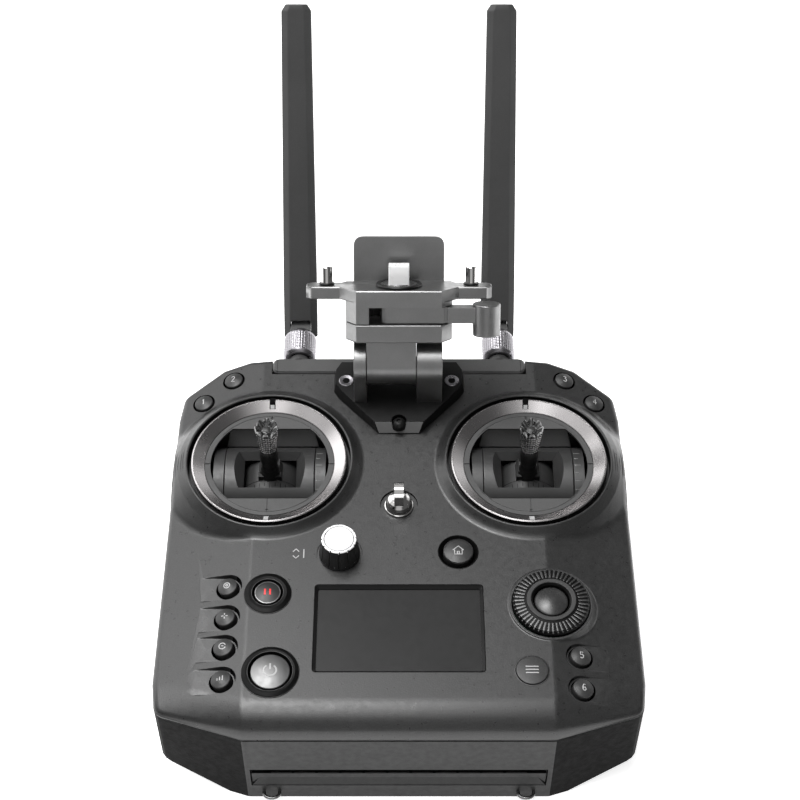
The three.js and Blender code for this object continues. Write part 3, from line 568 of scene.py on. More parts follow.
def front_height(x, y):
    surface = panel_height(x)
    from_sticks = [np.hypot(x - side * STICK_X, y) for _, side in SIDES]
    for r in from_sticks:
        cone = np.interp(r, *STICK_BOSS)
        rim = smooth_min(cone, np.full_like(r, BOSS_TOP), 0.5)
        surface = np.where(r < 62, smooth_max(surface, rim, 2.0), surface)
    r = np.hypot(x - JOG.x, y - JOG.y)
    jog = np.interp(r, *JOG_BOSS)
    surface = np.where(r < 30, smooth_max(surface, jog, 1.0), surface)
    for key in SCOOPS:
        end = abs(key[0]) + SCOOP_LENGTH
        tilt = 0.12 if key[2] > 0 else 0.03
        floor = slope_at(end) + tilt * (end - np.abs(x))
        low = np.minimum(surface, smooth_min(surface, floor, 0.3))
        surface = surface + (low - surface) * ramp(SCOOP_R - scoop_distance(x, y, key), 0, 0.75)
    surface = RIM_Z + (surface - RIM_Z) * rounding(x, y)
    drop = np.clip(EDGE - line_distance(x, y, outline), 0, EDGE)
    surface = surface - (EDGE - np.sqrt(EDGE * EDGE - drop * drop))
    for r in from_sticks:
        surface = np.where(r < 43.0, surface - 0.4 * ramp(43.0 - r, 0, 0.6), surface)
        surface = np.where(r < RECESS_R + 0.1, RECESS_FLOOR, surface)
    for at, radius, depth in ((LUG, LUG_RECESS, 1.3), (DIAL, DIAL_RECESS, 0.7)):
        past = np.hypot(x - at.x, y - at.y) - radius - 0.1
        surface = np.where(past < 0, -depth, np.where(past < 0.6, surface - 0.12, surface))
    return np.maximum(surface, RIM_Z)


def in_front_shell(x, y):
    keep = inside_polygon(x, y, outline) & ~inside_polygon(x, y, screen_outline)
    keep &= (y <= NOTCH_FRONT) | (np.abs(x) >= NOTCH_HALF)
    for _, side in SIDES:
        keep &= np.hypot(x - side * STICK_X, y) > GIMBAL_HOLE
    for hx, hy, radius in HOLES:
        keep &= np.hypot(x - hx, y - hy) > radius * 0.9995
    return keep


def front_underside(x, y):
    near_edge = line_distance(x, y, outline) < WALL + 0.05
    return np.where(near_edge, SEAM, np.maximum(front_height(x, y) - WALL, SEAM + 1))


def scoop_loop(key, radius):
    kx, ky, side = key
    turns = np.linspace(math.pi / 2, 3 * math.pi / 2, 20)
    run = np.linspace(0, SCOOP_LENGTH, 8)[1:]
    return ([(kx + side * radius * math.cos(a), ky + radius * math.sin(a)) for a in turns]
            + [(kx + side * s, ky - radius) for s in run] + [(kx + side * s, ky + radius) for s in run[::-1]])


# Lines along which the panel's surface bends, close together where it bends tightly.
EDGE_INSETS = (0.02, 0.08, 0.2, 0.4, 0.75, 1.2, 1.7, 2.2, WALL + 0.04, WALL + 0.1, 4, 5, 6.3, 7.8, 9.5, 11.5,
               14, ROLL_WIDTH)
STICK_RINGS = (GIMBAL_HOLE, RECESS_R + 0.05, RECESS_R + 0.2, 42.6, 42.8, 43, 43.25, 43.6, 44.2, 45.4, 46.4,
               47, 47.5, 48, 48.7, 49.6, 51, 52.5, 54, 55.5, 57, 58.5, 60)
JOG_RINGS = (19.4, 19.7, 20.1, 20.35, 20.7, 21.4, 22.2, 23, 23.8, 24.6, 25.6, 27)

front_loops = [outline]
front_loops += [filleted(inset(CORNERS, distance), max(7 - distance, 3), 6) for distance in EDGE_INSETS]
front_loops += [rectangle(-NOTCH_HALF, NOTCH_HALF, NOTCH_FRONT, BACK_Y + 10), screen_outline,
                filleted(inset(SCREEN_HOLE, -0.3), 2.5, 6)]
for _, side in SIDES:
    front_loops += [circle(side * STICK_X, 0, radius, 120) for radius in STICK_RINGS]
    for offset in (-1.1, -0.55, 0, 0.55, 1.1):
        x = side * (CREASE + offset)
        front_loops.append([(x, -160 + k * 12) for k in range(20)] + [(x, 66 - k * 12) for k in range(19)])
front_loops += [circle(JOG.x, JOG.y, radius, 96) for radius in JOG_RINGS]
front_loops += [circle(hx, hy, radius + extra, 48) for hx, hy, radius in HOLES[1:] for extra in (0, 0.3, 1)]
for at, radius in ((LUG, LUG_RECESS), (DIAL, DIAL_RECESS)):
    front_loops += [circle(at.x, at.y, radius + extra, 56) for extra in (0.05, 0.15, 0.45, 0.75)]
for key in SCOOPS:
    front_loops += [scoop_loop(key, SCOOP_R + extra) for extra in (0, -0.2, -0.38, -0.56, -0.75, -1.2, 0.5)]


def front_side(normal):
    """The upright wall over the parting line is black, and faces that look sideways take a darker copy of the
    casing: painted shade.
    """
    if abs(normal.z) < 0.05:
        return 2
    return int(abs(normal.x) > 0.6 and normal.z < 0.4)


def rear_side(normal):
    """The lower front face takes a darker copy of the casing than the panel does, and sideways faces a darker
    one still: painted shade.
    """
    if normal.y < -0.7 and abs(normal.x) < 0.2:
        return 2
    return int(abs(normal.x) > 0.2 and normal.z < 0.4)


front = Piece("front_casing", "root", "casing", CASING, CASING_PAINTED_SHADE_SIDE, VOID, at=move(0, 0, PANEL))
front.relief(front_loops, in_front_shell, front_height, front_underside)
front.done(replaces="front_shell", dress=front_side, height=front_height)


# ------------------------------------------------------------------ rear casing and what sits in it
refined("rear_casing", "rear_shell", "casing", (CASING, CASING_PAINTED_SHADE_SIDE, CASING_PAINTED_SHADE_FRONT), bevel=0.7, segments=3,
        angle=16, dress=rear_side)

# The strip across the lower face: a wedge, deep along its top edge and flush along the bottom one. Its face
# takes the darker front copy of the casing, painted shade.
trim = Piece("lower_trim_wedge", "root", "dark_plastic", CASING_PAINTED_SHADE_FRONT, KEY)
reach, inner = 71.6, 65.5
low_z, high_z = PANEL - 56.2, PANEL - 46.0
back_y, flush_y, ledge_y = FRONT_Y + 2.5, FRONT_Y + 0.15, FRONT_Y + 1.5
wedge = [[(-reach, low_y, low_z), (reach, low_y, low_z), (inner, high_y, high_z), (-inner, high_y, high_z)]
         for low_y, high_y in ((flush_y, ledge_y), (back_y, back_y))]
trim.stack(wedge)
trim.block((-reach, reach), (FRONT_Y + 1.0, back_y), (low_z, high_z))
for i in range(-5, 6):
    x = i * 11.4
    trim.block((x - 5.1, x + 5.1), (ledge_y - 0.14, ledge_y + 0.4), (high_z - 0.35, high_z + 0.12),
               material=1)
trim.done(bevel=0.3, replaces="lower_trim", weld=False)

for name, side in SIDES:
    low, high = box(f"{name}_strap_loop")
    loop = Piece(f"{name}_strap_ring", "root", "chrome", GUNMETAL)
    middle = (low + high) / 2
    bend = [(middle.x + x, high.y - 0.9 + y * 2.5 / 3.8, middle.z) for x, y in arc(3.8, 180, 360, 21)]
    loop.sweep([(middle.x - 3.8, high.y, middle.z)] + bend + [(middle.x + 3.8, high.y, middle.z)], 0.88)
    loop.done(replaces=f"{name}_strap_loop", sharp=50)


# ------------------------------------------------------------------ sticks
BEZEL_IN, BEZEL_OUT = 33.9, 40.4
CONE_RISE = 3.25 / 4.9  # slope of the bezel's inner cone
PIVOT_DEPTH = 25.4  # a stick's turning centre below the panel
DRUM_R, DRUM_HALF = 23.8, 23.4
OPENING_R, OPENING_Y = 30.8, 23.0


def plate_height(x, y):
    r = np.hypot(x, y)
    height = np.full_like(x, 0.1)
    seam = np.where(np.abs(y) > 18, np.abs(r - 31.35), 9.0)
    height -= 0.3 * ramp(0.28 - seam, 0, 0.12)
    centre_line = np.where(r < 31.2, np.abs(x), 9.0)
    height -= 0.3 * ramp(0.22 - centre_line, 0, 0.12)
    height -= 0.5 * ramp(0.75 - np.hypot(x, np.abs(y) - 30.2), 0, 0.25)
    split = np.where(r > 30, np.abs(y + 0.5), 9.0)
    return height - 0.5 * ramp(0.3 - split, 0, 0.12)


def opening_outline(grow=0.0):
    radius = OPENING_R + grow
    half = math.degrees(math.asin((OPENING_Y + grow) / radius))
    right = arc(radius, -half, half, 25)
    return right + [(-x, -y) for x, y in right]


def cone_mark(piece, angle, width, r0, r1, material, proud=0.14):
    """A thin patch that lies on the bezel's conical face, centred on an angle in degrees."""
    rings = []
    for t in np.linspace(1, -1, 5):
        ring = []
        for r, lift in ((r0, -0.6), (r1, -0.6), (r1, proud), (r0, proud)):
            a = math.radians(angle) + t * math.asin(width / 2 / r)
            ring.append((r * math.cos(a), r * math.sin(a), 0.4 + (r - 34.2) * CONE_RISE + lift))
        rings.append(ring)
    piece.stack(rings, material=material)


def cap_wave(angle, radius, z, kind):
    """Lotus teeth on the rim of a stick cap and a diamond knurl below it."""
    tooth = abs(math.cos(4 * angle))
    if kind == "tip":
        return radius + 0.35 * tooth, z - 2.6 * (1 - tooth) ** 1.3
    if kind == "lip":
        return radius - 0.5 * (1 - tooth), z - 1.4 * (1 - tooth)
    cross = abs(math.cos(12 * angle) * math.cos(1.75 * z))
    return radius - 0.2 + 0.3 * cross ** 0.6, z


CAP_PROFILE = [(0, -1.6), (3.6, -1.6), (4.2, -1.2)]
CAP_PROFILE += [(4.6 + 0.028 * i, -0.9 + 0.36 * i, "knurl") for i in range(40)]
CAP_PROFILE += [(5.6, 14.2, "lip"), (5.75, 16.0, "tip"), (5.2, 17.0, "tip"), (4.3, 16.5, "tip"),
                (3.3, 15.2, "lip"), (2.7, 14.2), (2.3, 14.0), (2.2, 14.6), (1.2, 14.8), (0, 14.8)]

for name, side in SIDES:
    at = move(side * STICK_X, 0, PANEL)
    pivot = at @ move(0, 0, -PIVOT_DEPTH)

    ring = Piece(f"{name}_bezel_ring", "root", "bezel_metal", BEZEL, VOID, WHITE, at=at)
    profile = [(BEZEL_IN, -0.8), (BEZEL_OUT, -0.8), (BEZEL_OUT, 3.6), (39.75, 3.95), (39.5, 3.95),
               (39.3, 3.75), (34.2, 0.4), (BEZEL_IN, 0.15)]
    ring.lathe(rounded(profile, [0, 0, 0.2, 0.08, 0.06, 0.06, 0.15, 0]), sides=160, closed=True)
    cone_mark(ring, 90, 3.1, 35.5, 40.3, 1, 0.2)
    cone_mark(ring, 90, 2.1, 35.4, 37.2, 2, 0.32)
    cone_mark(ring, 270, 2.5, 35.0, 39.0, 2)
    ring.done(replaces=f"{name}_stick_bezel", sharp=40, weld=False)

    plate = Piece(f"{name}_face_plate", "root", "grey_plastic", FACE, BLACK, at=at)
    rim = BEZEL_IN - 0.3
    loops = [circle(0, 0, rim, 120), opening_outline(), opening_outline(0.3)]
    loops += [circle(0, 0, r, 120) for r in (31.07, 31.19, 31.51, 31.63)]
    for offset in (-0.22, -0.1, 0.1, 0.22):
        y = offset * 1.3 - 0.5
        loops.append([(offset, -40), (offset, 0), (offset, 40), (offset, 0.01)])
        loops.append([(-40, y), (0, y), (40, y), (0.01, y)])
    loops += [circle(0, y, r, 16) for y in (-30.2, 30.2) for r in (0.5, 0.75)]
    plate.relief(
        loops,
        lambda x, y: (np.hypot(x, y) < rim) & ~inside_polygon(x, y, opening_outline()),
        plate_height,
        lambda x, y: np.full_like(x, -1.2),
    )
    plate.lathe([(32.5, -3.1), (41.0, -3.1), (41.0, -1.3), (32.5, -1.3)], sides=96, material=1, closed=True)
    plate.done(replaces=f"{name}_gimbal_plate", weld=False, height=plate_height)

    def cage(piece):
        slope = [(-24.6, 22.8, -15), (24.6, 22.8, -15), (21.6, 27.4, -3.3), (-21.6, 27.4, -3.3)]
        for s in (-1, 1):
            skins = [[(x, s * (y + thick), z) for x, y, z in slope] for thick in (0.8, 0)]
            piece.stack(skins[::s], at=at, material=4)
            piece.block((-33, 33), (s * 27.6 - 0.4, s * 27.6 + 0.4), (-14, -3.3), at=at, material=2)
            piece.block((s * 28.2 - 0.5, s * 28.2 + 0.5), (-14, 14), (-48, -26), at=at, material=1)
        for k in range(9):
            length = 3.4 if k % 2 == 0 else 2.2
            piece.block((24.1, 24.1 + length), (-0.16, 0.16), (DRUM_R - 0.3, DRUM_R + 0.09),
                        at=pivot @ turn(-22 + 11 * k, "X"), material=3)

    refined(f"{name}_gimbal_cage", f"{name}_gimbal_frame", "dark_plastic", (GIMBAL, DARK, VOID, RIM, CURTAIN),
            bevel=0.35, angle=20, also=cage)

    drum = Piece(f"{name}_outer_drum", f"{name}_yoke", "dark_plastic", GIMBAL, RAIL, VOID, at=pivot)
    axis = turn(90, "Y")
    drum.rod(DRUM_R, -DRUM_HALF, DRUM_HALF, at=axis, sides=128, edge=0.5)
    window = cutter(pivot).prism(rectangle(-13.5, 13.5, -12.2, 8.0), 16.8, 24.4,
                                 top=rectangle(-18.9, 18.9, -12.2, 13.6))
    well = cutter(pivot).block((-18.6, 18.6), (-13.3, 13.3), (-30, 17.0))
    under = cutter(pivot).block((-40, 40), (-40, 40), (-40, -11))
    drum.done(cuts=(window, well, under), bevel=0.25, angle=40, replaces=f"{name}_gimbal_yoke")
    inner = Piece(f"{name}_drum_rail", f"{name}_yoke", "grey_plastic", RIM, VOID, at=pivot)
    inner.block((13.9, 14.35), (-12.1, 7.6), (13.4, 17.4))
    inner.block((-17.9, -17.3), (-12.9, 12.9), (6, 17.2), material=1)
    inner.block((17.3, 17.9), (-12.9, 12.9), (6, 17.2), material=1)
    inner.rod(3, -27.4, 27.4, at=axis)
    inner.done(bevel=0.12, weld=False)

    lever = Piece(f"{name}_inner_drum", f"{name}_stick", "dark_plastic", GIMBAL, BLACK, RAIL, VOID, at=pivot)
    body = [(0, -12.8), (16.2, -12.8), (16.9, -12.1), (16.9, -5.0), (16.55, -4.85), (16.55, -4.35),
            (16.9, -4.2), (16.9, 8.6), (16.2, 9.3), (15.0, 9.3), (15.0, 12.6), (0, 12.6)]
    lever.lathe([(r, -y) for r, y in body][::-1], at=turn(90, "X"), sides=96)
    for k in range(-3, 4):
        tick = turn(9.5 * k, "Y")
        lever.block((-0.16, 0.16), (-9.8 + 1.4 * (k % 2), -6.0), (16.6, 17.0), at=tick, material=3)
    for s in (-1, 1):
        lever.prism([(s * 6.3, 15.8), (s * 4.9, 15.8), (s * 4.3, 20.4), (s * 4.9, 21.0)][::s], -6.5, 2.0,
                    at=turn(90, "X"), material=2)
    lever.block((-6.1, 6.1), (-4.2, -0.9), (15.3, 19.3), material=1)
    shaft = [(0, 14), (5.3, 14), (5.6, 17.5), (5.1, 19.6), (4.2, 22.4), (4.1, 26), (4.5, 29.5), (4.7, 33),
             (4.5, 36), (4.0, 38.6), (0, 38.6)]
    lever.lathe(rounded(shaft, 0.9), sides=48, material=1)
    lever.done(bevel=0.15, angle=50, replaces=f"{name}_stick", weld=False)

    cap_at = move(side * STICK_X, 0, box(f"{name}_stick_cap")[0].z - 0.4)
    cap = Piece(f"{name}_lotus_cap", f"{name}_stick", "knurled_steel", GUNMETAL, DARK, at=cap_at)
    cap.lathe(CAP_PROFILE, sides=160, wave=cap_wave)
    cap.lathe([(0, 14.0), (2.15, 14.0), (2.15, 14.75), (1.9, 14.95), (0, 14.95)], sides=32, material=1)
    cap.done(replaces=f"{name}_stick_cap", sharp=42)


# ------------------------------------------------------------------ screen
GLASS_TOP = SCREEN_HIGH.z
lens = Piece("screen_lens", "root", "glass", GLASS)
lens.prism(filleted(rectangle(SCREEN_LOW.x, SCREEN_HIGH.x, SCREEN_LOW.y, SCREEN_HIGH.y), 1.8, 6),
           SCREEN_LOW.z, GLASS_TOP - 0.5)
lens.done(bevel=0.25, replaces="screen_glass")
surround = Piece("screen_surround", "root", "dark_plastic", BLACK)
outer = filleted(inset(SCREEN_HOLE, 0.1), 2.1, 6)
inner = filleted(inset(SCREEN_HOLE, 1.8), 1.2, 6)
rows = [(outer, GLASS_TOP - 1.2), (outer, PANEL - 0.45), (inset(outer, 0.25), PANEL - 0.25),
        (inner, GLASS_TOP - 0.1), (inner, GLASS_TOP - 1.2)]
surround.stack([[(x, y, z) for x, y in line] for line, z in rows], closed=True)
surround.done(sharp=30)


# ------------------------------------------------------------------ buttons
INK_TOP, INK_FOOT = 0.13, 0.15  # how far a printed line stands above its surface and reaches into it


def dome(radius, proud, crown, edge, foot, steps):
    """The profile of a push button with a softly domed face."""
    points = [(0, -foot), (radius, -foot), (radius, proud - edge)]
    points += [(radius - edge * (1 - math.cos(a)), proud - edge * (1 - math.sin(a)))
               for a in np.linspace(0, math.pi / 2, 5)[1:]]
    inwards = np.linspace(1, 0, steps + 1)[1:]
    return points + [((radius - edge) * t, proud + crown * (1 - t * t)) for t in inwards]


def stroke(piece, line, width, height, material=1):
    """A printed line: a thin ribbon that follows height(x, y)."""
    line = [Vector(p) for p in line]
    last = len(line) - 1
    points, faces = [], []
    for i, p in enumerate(line):
        ahead = (line[min(i + 1, last)] - line[max(i - 1, 0)]).normalized()
        across = Vector((-ahead.y, ahead.x)) * width / 2
        for q in (p + across, p - across):
            z = height(q.x, q.y)
            points += [(q.x, q.y, z + INK_TOP), (q.x, q.y, z - INK_FOOT)]
    for a in range(0, 4 * last, 4):
        faces += [[a + 2, a + 6, a + 4, a], [a, a + 4, a + 5, a + 1], [a + 3, a + 7, a + 6, a + 2],
                  [a + 1, a + 5, a + 7, a + 3]]
    end = 4 * last
    faces += [[0, 1, 3, 2], [end + 2, end + 3, end + 1, end]]
    piece.add(points, faces, material=material)


def segment_line(start, end, count=5):
    return [tuple(Vector(start).lerp(Vector(end), t)) for t in np.linspace(0, 1, count)]


def push_button(name, node, at, materials, face, lines, width, foot=6, sides=80, steps=6, ring=()):
    """A round button with printed lines. face is its radius, its height, its crown and its edge's radius."""
    radius, proud, crown, edge = face
    piece = Piece(name, node, "key", *materials, at=at)
    piece.lathe(dome(*face, foot, steps), sides=sides)
    if ring:
        piece.lathe(ring, sides=80, material=2, closed=True)
    for line in lines:
        stroke(piece, line, width,
               lambda x, y: proud + crown * (1 - min(1.0, math.hypot(x, y) / (radius - edge)) ** 2))
    piece.done(replaces=node, sharp=50, weld=False)


def flat_at(at):
    return move(at.x, at.y, PANEL)

# Strokes of the numerals 1 to 6 on a unit cell, half width 0.5 and half height 1.
NUMERALS = {
    1: [[(-0.3, 0.6), (0.1, 1), (0.1, -1)]],
    2: [[(-0.5, 0.6), (-0.2, 1), (0.25, 1), (0.5, 0.6), (0.4, 0.2), (-0.5, -1), (0.5, -1)]],
    3: [[(-0.5, 1), (0.5, 1), (0, 0.2), (0.4, 0), (0.5, -0.5), (0.2, -1), (-0.25, -1), (-0.5, -0.7)]],
    4: [[(0.2, -1), (0.2, 1), (-0.55, -0.35), (0.55, -0.35)]],
    5: [[(0.45, 1), (-0.4, 1), (-0.45, 0.15), (0.2, 0.2), (0.5, -0.2), (0.4, -0.8), (0, -1), (-0.5, -0.8)]],
    6: [[(0.4, 0.9), (0, 1), (-0.4, 0.5), (-0.5, -0.3), (-0.3, -0.9), (0.2, -1), (0.5, -0.6), (0.3, -0.05),
         (-0.2, -0.05), (-0.48, -0.4)]],
}
# Camera keys carry plain signs: a gear-like ring, a shutter cross, an aperture and a bar chart.
SIGNS = [
    [arc(1.5, 0, 360, 25), arc(0.5, 0, 360, 13)],
    [segment_line((-1.6, 0), (-0.5, 0)), segment_line((0.5, 0), (1.6, 0)), segment_line((0, 0.5), (0, 1.6)),
     segment_line((0, -1.6), (0, -0.5))],
    [arc(1.6, 20, 340, 25), segment_line((-0.4, 0), (0.6, 0))],
    [segment_line((x, -1.2), (x, top)) for x, top in ((-1.3, 0), (0, 0.7), (1.3, 1.4))],
]

for i, (x, y) in enumerate(CAMERA_AT):
    place = move(x, y, PANEL + slope_at(x)) @ turn(-12, "Y")
    push_button(f"camera_button_{i + 1}", f"camera_key_{i + 1}", place, (KEY, WHITE), (CAMERA_R, 0.8, 0.9, 0.7),
                SIGNS[i], 0.46, sides=64)
for i, (x, y) in enumerate(FUNCTION_AT):
    place = move(x, y, PANEL + slope_at(x)) @ turn(math.copysign(12, x), "Y")
    digits = [[(px * 1.6, py * 1.65) for px, py in line] for line in NUMERALS[i + 1]]
    push_button(f"function_button_{i + 1}", f"function_key_{i + 1}", place, (KEY, WHITE),
                (FUNCTION_R, 0.9, 0.9, 0.7), digits, 0.46, foot=3.9, sides=64)

push_button("menu_key", "menu_button", flat_at(MENU), (KEY, WHITE), (7.7, 0.7, 0.45, 0.5),
            [segment_line((-3.1, y), (3.1, y), 9) for y in (-1.7, 0, 1.7)], 0.5)
menu_rim = Piece("menu_rim", "root", "casing", CASING, at=flat_at(MENU))
menu_rim.lathe(rounded([(7.95, -3), (8.45, -3), (8.45, 0.12), (7.95, 0.12)], [0, 0, 0.15, 0.15]),
               sides=80, closed=True)
menu_rim.done(sharp=60)

house = [[(-2.7, 0.1), (0, 2.6), (2.7, 0.1)], [(-1.9, 0.2), (-1.9, -2.3), (1.9, -2.3), (1.9, 0.2)],
         [(-0.5, -2.2), (-0.5, -0.7), (0.5, -0.7), (0.5, -2.2)]]
push_button("home_key", "home_button", flat_at(HOME), (DARK, WHITE, KEY), (7.6, 0.8, 0.8, 0.5), house, 0.5,
            ring=rounded([(6.9, 0.7), (7.5, 0.55), (7.2, 1.1), (6.9, 1.15)], 0.1))
well = Piece("home_well", "root", "dark_plastic", SURROUND, at=flat_at(HOME))
well.lathe(rounded([(8.1, -3.5), (10.25, -3.5), (10.25, 0.08), (9.9, 0.1), (8.6, -1.7), (8.1, -2.4)],
                         [0, 0, 0.15, 0.15, 0.4, 0]), sides=96, closed=True)
well.done(sharp=50)

PAUSE_R, POWER_R = 6.5, 9.5
push_button("pause_key", "pause_button", flat_at(PAUSE), (DARK, RED, RIM), (PAUSE_R, 0.9, 0.9, 0.5),
            [segment_line((x, -1.7), (x, 1.7), 7) for x in (-1.25, 1.25)], 0.95,
            ring=rounded([(6.0, 0.8), (6.45, 0.6), (6.3, 1.15), (6.0, 1.2)], 0.08))
push_button("power_key", "power_button", flat_at(POWER), (POWER_KEY, WHITE), (POWER_R, 0.9, 1.2, 0.6),
            [arc(3.0, -235, 55, 31), segment_line((0, 0.5), (0, 3.8), 6)], 0.75, sides=96, steps=9)

for name, at, key_r, outer_r in (("pause", PAUSE, PAUSE_R, 11.6), ("power", POWER, POWER_R, 13.8)):
    bezel = Piece(f"{name}_surround", "root", "dark_plastic", SURROUND, RAIL, at=flat_at(at))
    step = (outer_r - key_r) * 0.42
    profile = [(key_r + 0.5, -4), (outer_r, -4), (outer_r, 0.5), (outer_r - 0.3, 0.75),
               (outer_r - step, 1.35), (key_r + 1.3, 1.25), (key_r + 0.9, 0.2), (key_r + 0.5, -0.6)]
    bezel.lathe(rounded(profile, [0, 0, 0.15, 0.15, 0.4, 0.3, 0.3, 0]), sides=112, closed=True)
    for radius, z, thick in ((outer_r + 0.05, 0.2, 0.2), (key_r + 1.35, 1.2, 0.17)):
        bezel.lathe(circle(radius, z, thick, 8), sides=112, material=1, closed=True)
    bezel.done(replaces=f"{name}_bezel", sharp=50, weld=False)


# ------------------------------------------------------------------ dials
wheel = Piece("jog_ring", "jog_wheel", "rubber", SURROUND, RIB, DARK, at=flat_at(JOG))
profile = [(8.7, -3.4), (10.1, -3.4), (10.1, 0.4), (18.9, 0.4), (18.9, 1.6), (17.9, 3.3), (12.3, 3.9),
           (11.6, 4.2), (9.9, 4.2), (9.0, 3.4), (8.7, 2.6)]
wheel.lathe(rounded(profile, [0, 0, 0, 0.2, 0.4, 0.3, 0.3, 0.3, 0.5, 0.4, 0]), sides=144, closed=True)
wheel.lathe(rounded([(9.9, 4.0), (12.1, 4.0), (12.1, 4.45), (11.8, 4.6), (10.2, 4.6), (9.9, 4.4)], 0.1),
            sides=120, material=2, closed=True)
RIBS = 48
for k in range(RIBS):
    spoke = turn(360 * k / RIBS, "Z")
    wheel.block((12.9, 17.6), (-0.5, 0.5), (2.6, 4.9), at=spoke @ turn(4.2, "Y"), material=1)
    wheel.block((17.5, 18.7), (-0.4, 0.4), (1.2, 3.1), at=spoke, material=2)
wheel.done(bevel=0.16, angle=60, replaces="jog_wheel", weld=False)
pad = Piece("jog_dome", "jog_pad", "key", GLOSS, BLACK, at=flat_at(JOG))
pad_profile = [(0, -6), (8.2, -6), (8.2, 2.3), (8.05, 2.65)]
pad_profile += [(7.9 * (1 - t), 2.8 + 1.7 * (1 - (1 - t) ** 2)) for t in np.linspace(0, 1, 13)]
pad.lathe(pad_profile, sides=96)
pad.done(replaces="jog_pad", sharp=50)


def knob_wave(angle, radius, z, _):
    """Vertical flutes round the knob's skirt."""
    return radius - 0.55 * max(0.0, math.cos(12 * angle)) ** 60 + 0.05 * math.cos(96 * angle), z


KNOB_SKIRT = ((10.2, 0.9), (9.8, 2.4), (9.4, 6), (9.1, 9), (8.95, 11.2), (8.85, 12.0), (8.8, 12.5))
KNOB = [(0, -0.4), (9.9, -0.4), (10.2, 0.0)] + [(r, z, "fluted") for r, z in KNOB_SKIRT]
KNOB += [(8.5, 12.6), (8.0, 12.6), (0, 12.6)]
knob = Piece("tilt_knob", "tilt_dial", "dark_plastic", DARK, KNOB_TOP, WHITE, at=flat_at(DIAL))
knob.lathe(KNOB, sides=192, wave=knob_wave)
cap_profile = [(0, 11.5), (8.75, 11.5), (8.75, 12.5), (8.5, 12.95), (7.7, 13.1), (7.5, 12.6), (7.15, 12.6),
               (7.0, 13.05), (0, 13.15)]
knob.lathe(rounded(cap_profile, [0, 0.1, 0.3, 0.2, 0.1, 0.05, 0.05, 0.1, 0]), sides=96, material=1)
for k in range(12):
    spot = turn(30 * k + 3, "Z")
    knob.block((8.3, 8.95), (-0.35, 0.35), (12.1, 13.0), at=spot)
    knob.lathe([(0, 0), (0.22, 0), (0, 0.08)], at=spot @ turn(15, "Z") @ move(10.35, 0, 2.2) @ turn(90, "Y"),
               sides=8, material=2)
knob.done(replaces="tilt_dial", sharp=40, weld=False)
mark = Piece("tilt_mark", "root", "casing", WHITE, at=move(DIAL.x - 20.5, DIAL.y, PANEL))
for line in ([(-2.8, 1.2), (-1.3, 2.8), (0.2, 1.2)], [(-2.8, -1.2), (-1.3, -2.8), (0.2, -1.2)],
             [(2.6, -2.6), (2.6, 2.6)]):
    stroke(mark, line, 0.55, lambda x, y: 0.0, material=0)
mark.done(weld=False)


# ------------------------------------------------------------------ neck strap eye
eye = Piece("strap_eye", "root", "chrome", CHROME, BLACK, at=flat_at(LUG))
base = [(0, -4), (3, -4), (3, -1.1), (7.4, -1.1), (7.5, -0.9), (7.4, -0.3), (6.8, 0.0), (6.7, 2.0),
        (6.3, 3.6), (5.4, 4.9), (4.0, 5.8), (2.6, 6.3), (0, 6.4)]
eye.lathe(rounded(base, 0.35), sides=80)
tab = [(-4.8, 1.5), (4.8, 1.5), (4.7, 11.5), (3.4, 14.4), (1.4, 15.7), (-1.4, 15.7), (-3.4, 14.4),
       (-4.7, 11.5)]
eye.prism(filleted(tab, [0.2, 0.2, 3, 2.4, 2.4, 2.4, 2.4, 3]), -2.35, 2.35, at=STANDING)
hole = cutter(flat_at(LUG)).rod(2.5, -9, 9, at=move(0, 0, 10.4) @ turn(90, "Y"), sides=40)
eye.done(bevel=1.1, segments=4, angle=50, cuts=(hole,), replaces="neck_strap_lug")


# ------------------------------------------------------------------ antennas
ANTENNA_X = centre("right_antenna_nut").x
NUT_LOW, NUT_HIGH = box("right_antenna_nut")
ANTENNA_Z = (NUT_LOW.z + NUT_HIGH.z) / 2
NUT_R, NUT_LONG = (NUT_HIGH.z - NUT_LOW.z) / 2, NUT_HIGH.y - NUT_LOW.y
KNURLS, KNURL_PITCH = 36, 1.15
PIVOT_Y, KNUCKLE_HALF = 99.2, 4.3
BLADE_RISE, BLADE_LENGTH, BLADE_BASE, BLADE_TIP, BLADE_THICK = 55.1, 177.0, 9.25, 7.95, 4.6
BLADE_FACE = 3.5  # width of the slanted edges beside the flat face
FORK = 5.75


def rail_ends(piece):
    """Seams of the end caps along the rail."""
    for _, side in SIDES:
        piece.block((side * 66.2 - 0.12, side * 66.2 + 0.12), (RAIL_LOW.y + 0.6, RAIL_LOW.y + 9),
                    (62, PANEL + 1.22), material=1)


refined("antenna_rail", "antenna_bar", "casing", (RAIL, VOID), bevel=0.8, segments=3, angle=30, also=rail_ends)


def blade_ring(y, half):
    """The eight-cornered section of a blade at one place along it."""
    face, shoulder = half - BLADE_FACE, BLADE_THICK - 2.35
    section = [(half, -shoulder), (half, shoulder), (face, BLADE_THICK), (-face, BLADE_THICK),
               (-half, shoulder), (-half, -shoulder), (-face, -BLADE_THICK), (face, -BLADE_THICK)]
    return [(x, y, z) for x, z in section]


def nut_wave(angle, radius, z, _):
    """Rows of small domes round the nut."""
    row = max(0.0, math.cos(KNURLS * angle))
    dot = max(0.0, math.cos(2 * math.pi * z / KNURL_PITCH))
    return radius - 0.42 * (1 - math.sqrt(row * dot)), z


NUT = [(4.4, 0.3), (6.9, 0.0), (7.6, 0.15), (8.75, 1.5), (8.75, 2.1)]
NUT += [(NUT_R, 2.3 + 0.23 * i, "knurl") for i in range(52)]
NUT += [(8.7, 14.5), (8.7, 15.4), (7.9, 16.6), (7.2, NUT_LONG), (4.4, NUT_LONG)]

